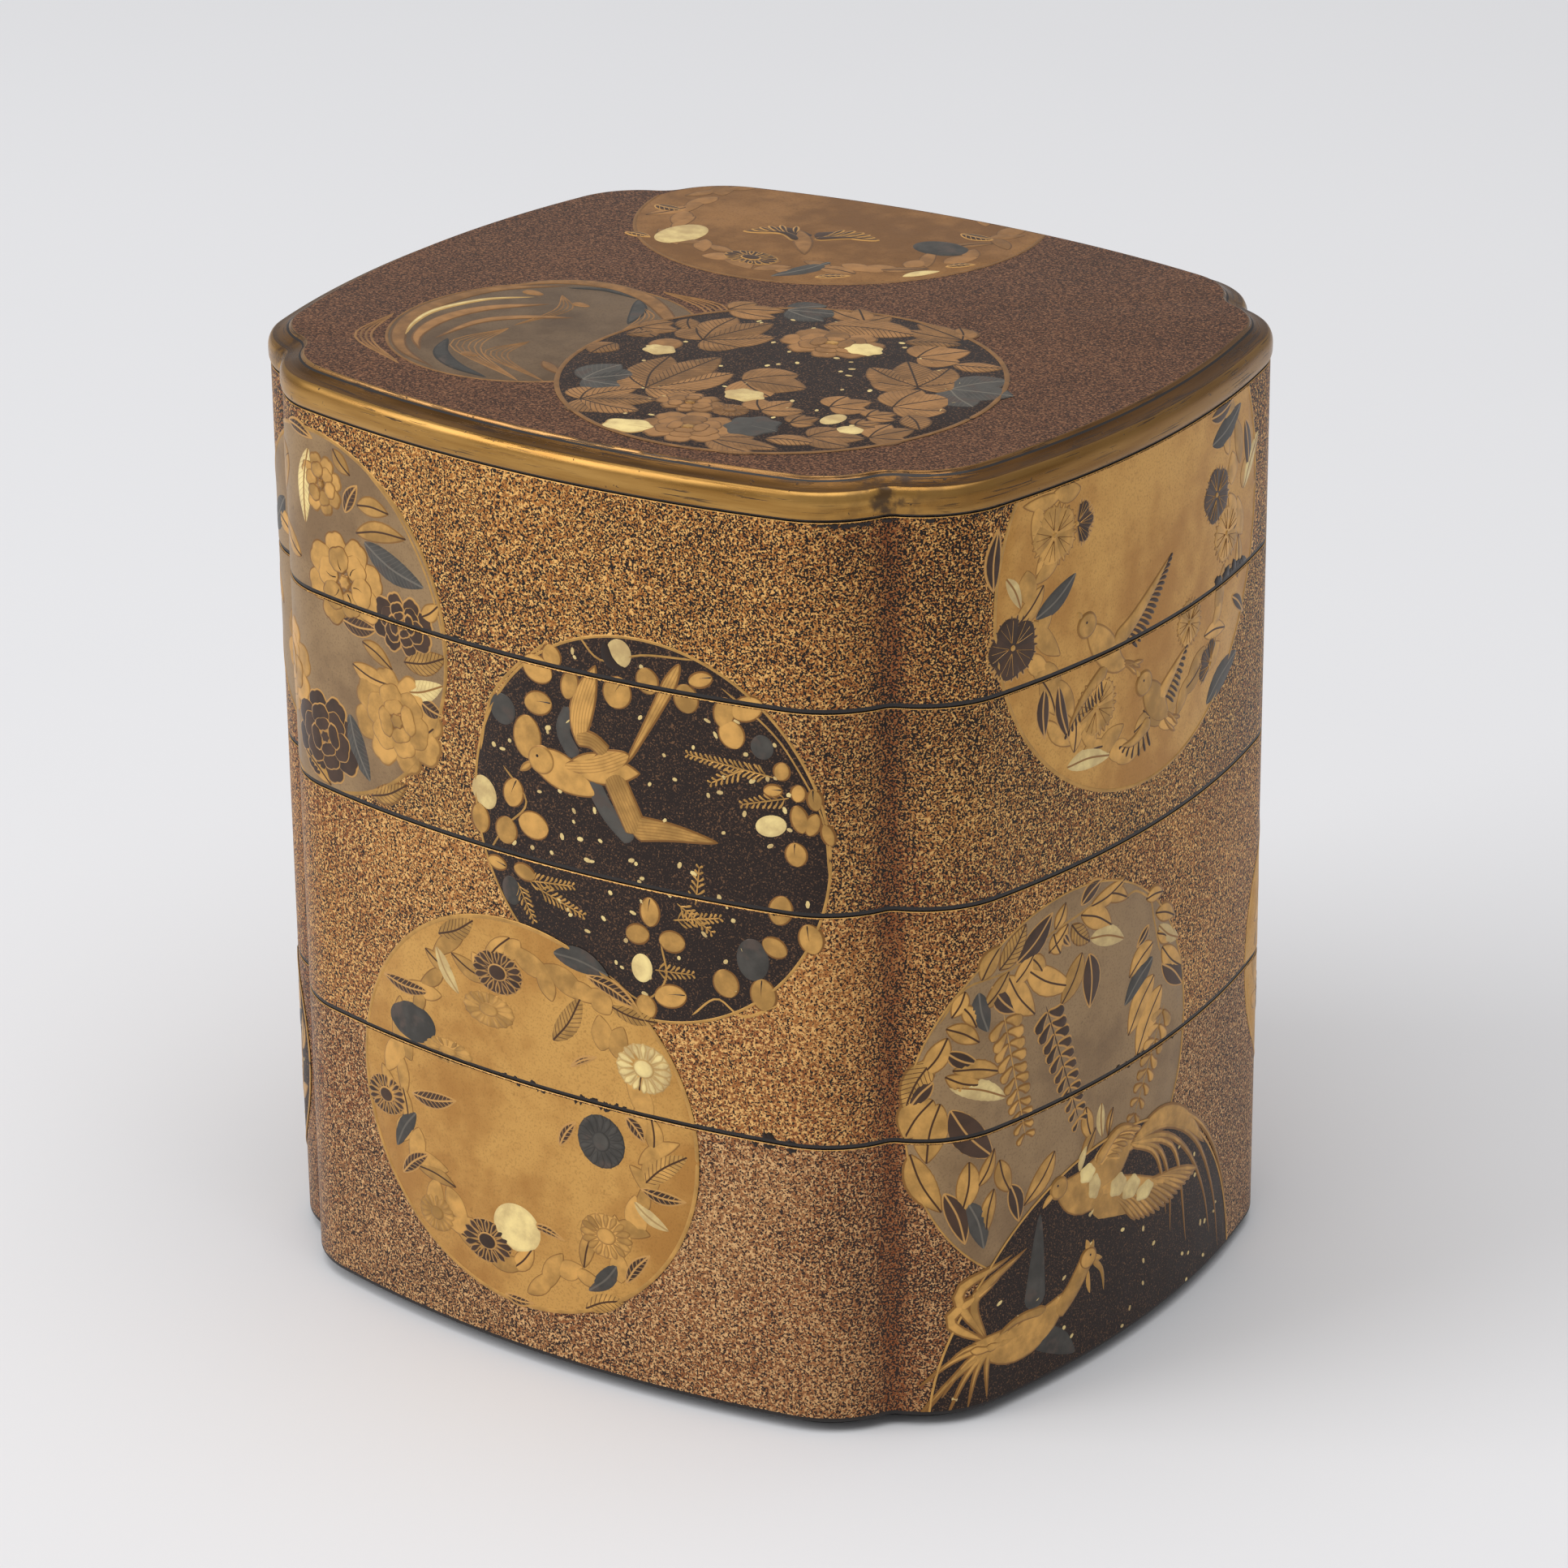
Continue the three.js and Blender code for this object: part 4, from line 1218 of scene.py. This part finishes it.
# Top, second and third tiers, left face: peonies on an olive ground, round the left notch.
peonies = Picture("wall", (-62, 159), 41.5, 0.06)
peonies.ground("olive_ground")
peonies.rim("gold", 1.0)
peonies.lobed("gold", (-78, 188), 16, 14, lobes=3, turn=0.5, veins=0.5, outline=0.8)
for base, tip, width, veins in [
        ((-33.5, 154.6), (-21.3, 158.5), 5.4, 1), ((-46.3, 186.7), (-36.7, 187), 4.4, 0.5),
        ((-47, 180.3), (-32, 182.5), 4.6, 0.5), ((-53.4, 197.6), (-48.2, 193), 4, 0.5),
        ((-46.3, 156), (-37.3, 152), 4, 0.5), ((-49.8, 150), (-37, 148.2), 5, 0.5),
        ((-45.3, 120.7), (-34.4, 126), 4.4, 1), ((-68.7, 125), (-59, 119.4), 5, 0.5),
        ((-28, 166), (-22.5, 170), 4, 0.5), ((-76, 125), (-84, 131), 4.5, 0.5),
        ((-30, 136), (-24.5, 142), 4, 0.5), ((-66, 170), (-76, 176), 5, 0.5),
        ((-84, 168), (-96, 172), 5, 0.5), ((-92, 150), (-100, 158), 5, 0.5)]:
    peonies.leaf("gold", base, tip, width, veins=veins, outline=0.7)
for finish, base, tip, width in [
        ("foil", (-61.7, 195.7), (-63.6, 179), 4.8), ("foil", (-35.4, 147.6), (-22.6, 151.8), 5),
        ("silver", (-44.4, 178.9), (-27.4, 173.2), 6), ("silver", (-51.4, 138), (-45.7, 124.5), 5.5),
        ("dark", (-50.2, 184), (-46, 190.9), 3.6), ("dark", (-52.7, 159.4), (-41.8, 159.8), 4.4),
        ("dark", (-29, 147), (-22.5, 145), 4), ("dark", (-70, 199.8), (-60.4, 198.2), 3),
        ("silver", (-88, 176), (-100, 166), 6)]:
    peonies.leaf(finish, base, tip, width, veins=0.7, outline=1 if finish == "dark" else 0)
peonies.peony("dark", (-33.5, 163), 8, 6, outline=1)
peonies.peony("gold", (-57.8, 188.6), 6, 6, rounds=2, outline=0.7)
peonies.peony("gold", (-77, 143), 11, 10, outline=0.6)
peonies.peony("dark", (-59.8, 130.3), 10, 9, heart="dark", outline=1)
peonies.peony("gold", (-36, 140.5), 11.5, 10, outline=0.6)
peonies.peony("gold", (-51.1, 168.1), 10.5, 9.5, outline=0.9, rounds=2, slashes=True)
peonies.line("gold", ((-44, 196), (-34, 188), (-26, 176), (-22, 164), (-21.5, 154), (-24, 142)), 0.8)

# Sides that the view doesn't reach: plainer pictures in keeping. Each is a ground with a wreath of
# leaves and five flowers, turned at random.
for spot, radius, level, ground, flower in [
        ((247, 66), 38, 0.06, "gold_ground", "dark"), ((318, 142), 42, 0.06, "dark_ground", "gold"),
        ((352, 78), 36, 0.06, "gold_ground", "dark"), ((-158, 150), 40, 0.06, "gold_ground", "dark"),
        ((-196, 66), 38, 0.06, "olive_ground", "dark"), ((-122, 40), 34, 0.2, "dark_ground", "gold")]:
    hidden = Picture("wall", spot, radius, level)
    hidden.ground(ground)
    hidden.rim("gold", 0.9)
    hidden.wreath("gold", int(1.1 * radius))
    if ground == "dark_ground":
        hidden.flakes(60)
    for turn in np.arange(5) * 2 * np.pi / 5 + chance.uniform(0, 1.2):
        place = hidden.centre + 0.68 * radius * toward(turn)
        hidden.chrysanthemum(flower, flower, place, 0.15 * radius, 0.14 * radius, outline=0.8)
        middle = hidden.centre + 0.7 * radius * toward(turn + 0.6)
        hidden.leaf("foil" if turn < 3 else "silver", middle, middle + (0.18 * radius, 0.14 * radius), 4)

# Wear along the tiers' edges: the powder and the coats under it have chipped off to dark lacquer.
chips = Picture("wall", (0, 0), 1, 0.0)
for seam, start, end, count, size in [
        (162.75, 186, 202, 12, 1.7), (64.75, -12, 24, 26, 0.8), (64.75, 54, 64, 6, 1.0),
        (204, 62, 112, 20, 0.8), (64.75, 130, 170, 14, 0.6), (117.75, -20, 60, 16, 0.5)]:
    for walked in chance.uniform(start, end, count):
        width, height = chance.uniform(0.6, 1.5) * size, chance.uniform(0.7, 1.3) * size
        below = seam == 204 or (seam < 162 and chance.uniform() < 0.3)
        level = seam + (0.2 - 0.55 * height if below else 0.5 + 0.55 * height)
        chips.boss("black", (walked, level), (width, height),
                   lambda angle: 1 + 0.16 * np.cos(3 * angle + walked) + 0.1 * np.cos(7 * angle), rise=0.21,
                   sectors=18, rings=2)

# The lid's front picture: a wreath of leaves, peonies and lobed leaves on a dark ground.
garland = Picture("lid", (24.8, -30.7), 47.7, 0.13)
garland.ground("dark_ground")
garland.rim("bronze", 1.2)
garland.flakes(90, 1.3, 0.9)
for finish, spot, wide, tall, lobes, turn, veins in [
        ("silver", (4.7, 9), 13, 9, 3, 0.4, 0.6), ("bronze", (-6.7, 3.3), 14, 8, 3, 0.7, 0.6),
        ("bronze", (-1.3, -12), 16, 18, 5, 1.2, 0.9), ("bronze", (15.5, 12.8), 14, 7, 3, 2.0, 0.6),
        ("bronze", (36.7, 12.7), 16, 8, 3, 2.6, 0.6), ("bronze", (44, 0), 11, 12, 3, 0.9, 0.6),
        ("bronze", (47.3, -14.7), 18, 15, 5, 2.2, 1), ("silver", (63.7, -16), 13, 17, 3, 0.2, 0.7),
        ("bronze", (57.7, -28.3), 13, 14, 3, 1.0, 0.7), ("bronze", (-16.7, -18.7), 8, 10, 3, 0.3, 0.6),
        ("silver", (-6, -50), 12, 14, 3, 0.8, 0.7), ("bronze", (5.3, -41.3), 18, 24, 5, 1.5, 1),
        ("bronze", (24.7, -35.3), 14, 14, 3, 0.2, 0.7), ("bronze", (3.3, -61.3), 16, 14, 5, 0.6, 1),
        ("foil", (16, -72.7), 13, 9, 5, 0.2, 0.4), ("silver", (37.3, -59.3), 13, 14, 7, 0, 0.4),
        ("bronze", (40.7, -69.3), 16, 8, 3, 0.3, 0.7), ("bronze", (34, -46.7), 12, 8, 3, 1.4, 0.7),
        ("bronze", (55, -56), 12, 9, 3, 0.6, 0.7)]:
    if lobes == 7 or finish == "foil":
        garland.lobed(finish, spot, wide, tall, lobes, turn, veins=veins, outline=0.7, rise=0.12)
    else:
        garland.palm(finish, spot, 1.15 * wide, 1.15 * tall, lobes, turn, veins=veins, outline=0.7,
                     columns=7)
for base, tip, width in [((12, 3), (32, 8), 11), ((-18, -31), (-18.5, -39), 7), ((-15, -9), (-10, -15), 5),
                         ((33, 3), (44, 8), 6), ((60, -36), (67, -42), 6), ((44, -64), (54, -61), 6),
                         ((50, -4), (60, 0), 6), ((-20, -25), (-16, -20), 4.5)]:
    garland.leaf("bronze", base, tip, width, veins=1, outline=0.7, columns=9)
garland.round_leaf("bronze", (-8.7, -26), 8, 8, outline=0.7)
garland.lobed("foil", (-7.7, -29.5), 8, 7, lobes=5)
garland.peony("bronze", (20.7, -6), 10, 8, outline=0.7)
garland.lobed("foil", (28.5, -6), 10, 8, lobes=7, rise=0.24)
garland.lobed("foil", (24.7, -44), 10, 8, lobes=6, rise=0.22)
garland.peony("bronze", (26.7, -66.7), 9, 8, outline=0.7)
garland.peony("bronze", (18, -54), 6.5, 5, rounds=2, outline=0.7)
garland.chrysanthemum("bronze", "bronze", (27.7, -53.4), 4.4, 3.8, outline=0.7)
for spot, wide, tall in [
        ((46, -37.3), 10, 9), ((55.3, -39.3), 8, 6), ((63.3, -48), 9, 11), ((44, -50.7), 6, 7),
        ((56, -45.3), 7, 5)]:
    garland.palm("bronze", spot, 1.1 * wide, 1.1 * tall, 3, 1.0, veins=0.6, outline=0.7)
garland.round_leaf("foil", (48.8, -46.5), 5, 7)
garland.round_leaf("foil", (55.5, -50.2), 6, 5.5)

# The lid's left picture: waves on a dun ground, partly under the garland. Swells are tapering
# gold and silver bands, spray is rows of fine parallel lines.
waves = Picture("lid", (-36, -33), 34, 0.04)
waves.ground("dun_ground")
waves.rim("bronze", 0.7)
for finish, points, width in [
        ("bronze", ((-64, -16), (-56, -5), (-45, 0), (-32, -2), (-20, -10), (-10, -20), (-6, -28)), 4.6),
        ("bronze", ((-50, -4), (-63, -16), (-67, -33), (-63, -48), (-54, -59), (-40, -65.5)), 4.8),
        ("foil", ((-52, -15), (-60, -22.2), (-64.5, -33.9), (-63, -44), (-58, -54)), 2.2),
        ("bronze", ((-46, -17), (-56, -27), (-59.5, -38), (-57, -50), (-50, -58)), 4.4),
        ("bronze", ((-36, -22), (-46, -28), (-52, -36), (-52.7, -50)), 3.4),
        ("bronze", ((-24.3, -48.9), (-21, -51), (-15.7, -54.2)), 3.4),
        ("silver", ((-50.4, -48), (-46, -56), (-38, -61.5), (-27, -64.4)), 4.0),
        ("silver", ((-32, -4), (-27, -11), (-23.7, -19.4)), 4.0),
        ("silver", ((-50, -6), (-42, -2.6), (-32, -4)), 2.2)]:
    waves.blade(finish, points, width, pointed, outline=0.7, rows=36, rise=0.1, columns=7)
for start, bow, end, count, gap in [
        ((-47.9, -10.6), (-43, -20), (-43.8, -33.3), 4, 1.2),
        ((-43.6, -35.2), (-40, -50), (-20.4, -62.4), 6, 1.5),
        ((-34.3, -40.1), (-32, -51), (-15.7, -59.7), 5, 1.4),
        ((-70.9, -40.7), (-65, -56), (-48.6, -67), 4, 1.2),
        ((-30.8, 3.3), (-16, -2), (-5.6, -13.6), 5, 1.25), ((-28, -8), (-24, -15), (-22, -24), 4, 1.1)]:
    start, bow, end = np.array((start, bow, end))
    sideways = bow - (start + end) / 2
    sideways = sideways / np.hypot(*sideways)
    for line in range(count):
        waves.line("bronze", (start, bow + line * gap * sideways, end), 0.55, rows=20)
for spot, wide, tall in [((-54.3, -12.9), 6, 3), ((-40.4, -14), 5, 2.6), ((-39.9, -54), 5, 2.6)]:
    waves.lobed("bronze", spot, wide, tall, lobes=3)

# The lid's back picture: a long-winged bird, a chrysanthemum and leaves on a gold-brown ground, cut
# off by the panel's edge at the back.
evening = Picture("lid", (-27.8, 68), 47.5, 0.05)
evening.ground("bronze_ground")
evening.rim("bronze", 0.9)
evening.wreath("bronze", 50)
evening.boss("foil", (-52.5, 40), (5.4, 7.8))
evening.chrysanthemum("dark", "dark", (-29, 34), 7.2, 4.6)
evening.boss("silver", (2.7, 62.7), (7, 5))
evening.leaf("silver", (-12.3, 41), (-17.3, 26), 5, veins=0.5)
evening.leaf("foil", (7, 41), (11.5, 48.5), 3)
for base, tip, width in [
        ((0.2, 74.5), (9.2, 74.5), 4), ((-70.7, 54.7), (-62.7, 54.7), 4), ((-64, 34), (-57, 34), 3),
        ((11, 52), (15.5, 57), 3), ((-9, 30), (-3, 35), 3)]:
    evening.leaf("dark", base, tip, width, veins=1, outline=1)
for points, width, side in [
        (((-27, 50), (-34, 53), (-42, 49)), 6, -1), (((-25, 53), (-19, 58), (-12, 60)), 6, 1)]:
    evening.wing("dark", points, width, side=side, outline=1)
evening.blade("bronze", ((-32, 57), (-26, 50), (-20, 42)), 5, pointed, outline=0.6, rise=0.16, columns=9)


def cut_square(name, chosen, keeps):
    """Join mounds on the flat sheet, cut them off at each plane in keeps and close the cuts."""
    starts = np.cumsum([0] + [len(part[0]) for part in chosen])
    points, grain, kind = (np.vstack([part[index] for part in chosen]) for index in range(3))
    faces = np.vstack([part[3] + start for part, start in zip(chosen, starts)])
    mesh = bpy.data.meshes.new(name + "_sheet")
    mesh.from_pydata(points, [], faces)
    carry(mesh, "grain", grain)
    carry(mesh, "kind", kind)
    work = bmesh.new()
    work.from_mesh(mesh)
    for spot, ahead in keeps:
        cut = bmesh.ops.bisect_plane(work, geom=work.verts[:] + work.edges[:] + work.faces[:], dist=1e-4,
                                     plane_co=spot, plane_no=ahead, clear_outer=True)
        seams = [item for item in cut["geom_cut"] if isinstance(item, bmesh.types.BMEdge)]
        bmesh.ops.holes_fill(work, edges=seams, sides=0)
    bmesh.ops.triangulate(work, faces=work.faces[:])
    bmesh.ops.recalc_face_normals(work, faces=work.faces[:])
    work.to_mesh(mesh)
    work.free()
    values = []
    for layer in ("position", "grain", "kind"):
        array = np.empty(3 * len(mesh.vertices), np.float32)
        mesh.attributes[layer].data.foreach_get("vector", array)
        values.append(array.reshape(-1, 3).astype(float))
    corners = np.empty(len(mesh.loops), np.int32)
    mesh.loops.foreach_get("vertex_index", corners)
    bpy.data.meshes.remove(mesh)
    return *values, corners.reshape(-1, 3)


def laid(name, points, grain, kind, faces, finish):
    """One piece of relief in one finish, with the numbers that its material reads."""
    piece = dress(name, points, faces, [FINISHES[finish][0]], sharp=60)
    carry(piece.data, "grain", grain)
    carry(piece.data, "kind", kind)


def on_wall(points):
    """From the unrolled sheet onto a tier, square out from its wall."""
    spot = on_plan(points[:, 0], RELIEF_ROOM - points[:, 2])
    return np.column_stack([spot.real, spot.imag, points[:, 1] + FOOT_DEPTH])


for finish, parts in mounds["wall"].items():
    for tier_name, (low, high) in tier_levels.items():
        floor_line, rim_line = low - FOOT_DEPTH + DARK_EDGE, high - FOOT_DEPTH - RIM_ROUNDING
        near = [part for part in parts
                if part[0][:, 1].max() > floor_line and part[0][:, 1].min() < rim_line]
        if not near:
            continue
        keeps = [((0, floor_line, 0), (0, -1, 0)), ((0, rim_line, 0), (0, 1, 0))]
        points, grain, kind, faces = cut_square(tier_name + finish, near, keeps)
        laid(f"{tier_name}_{finish}", on_wall(points), grain, kind, faces, finish)

# On the lid the same relief lies on the flat panel, cut off along the panel's edge at the back.
PANEL_INSIDE = LID_PANEL_INSET + 0.9
BACK_CENTRE = (HALF_DEPTH - FRONT_RADIUS) * 1j
BACK_CORNER = crossing(BACK_CENTRE, FRONT_RADIUS - CORNER_RADIUS, NOTCH, CORNER_RADIUS, 1)
panel_edges = [(BACK_CENTRE, FRONT_RADIUS - PANEL_INSIDE, np.radians(np.arange(-16, 17, 4))),
               (-np.conj(BACK_CORNER), CORNER_RADIUS - PANEL_INSIDE, np.radians(np.arange(-15, -80, -7)))]
for finish, parts in mounds["lid"].items():
    keeps = [((middle.real + reach * math.sin(turn), middle.imag + reach * math.cos(turn), 0),
              (math.sin(turn), math.cos(turn), 0)) for middle, reach, turns in panel_edges for turn in turns]
    points, grain, kind, faces = cut_square("lid" + finish, parts, keeps)
    points[:, 2] += lid_base + panel_height
    laid(f"lid_{finish}", points, grain, kind, faces, finish)
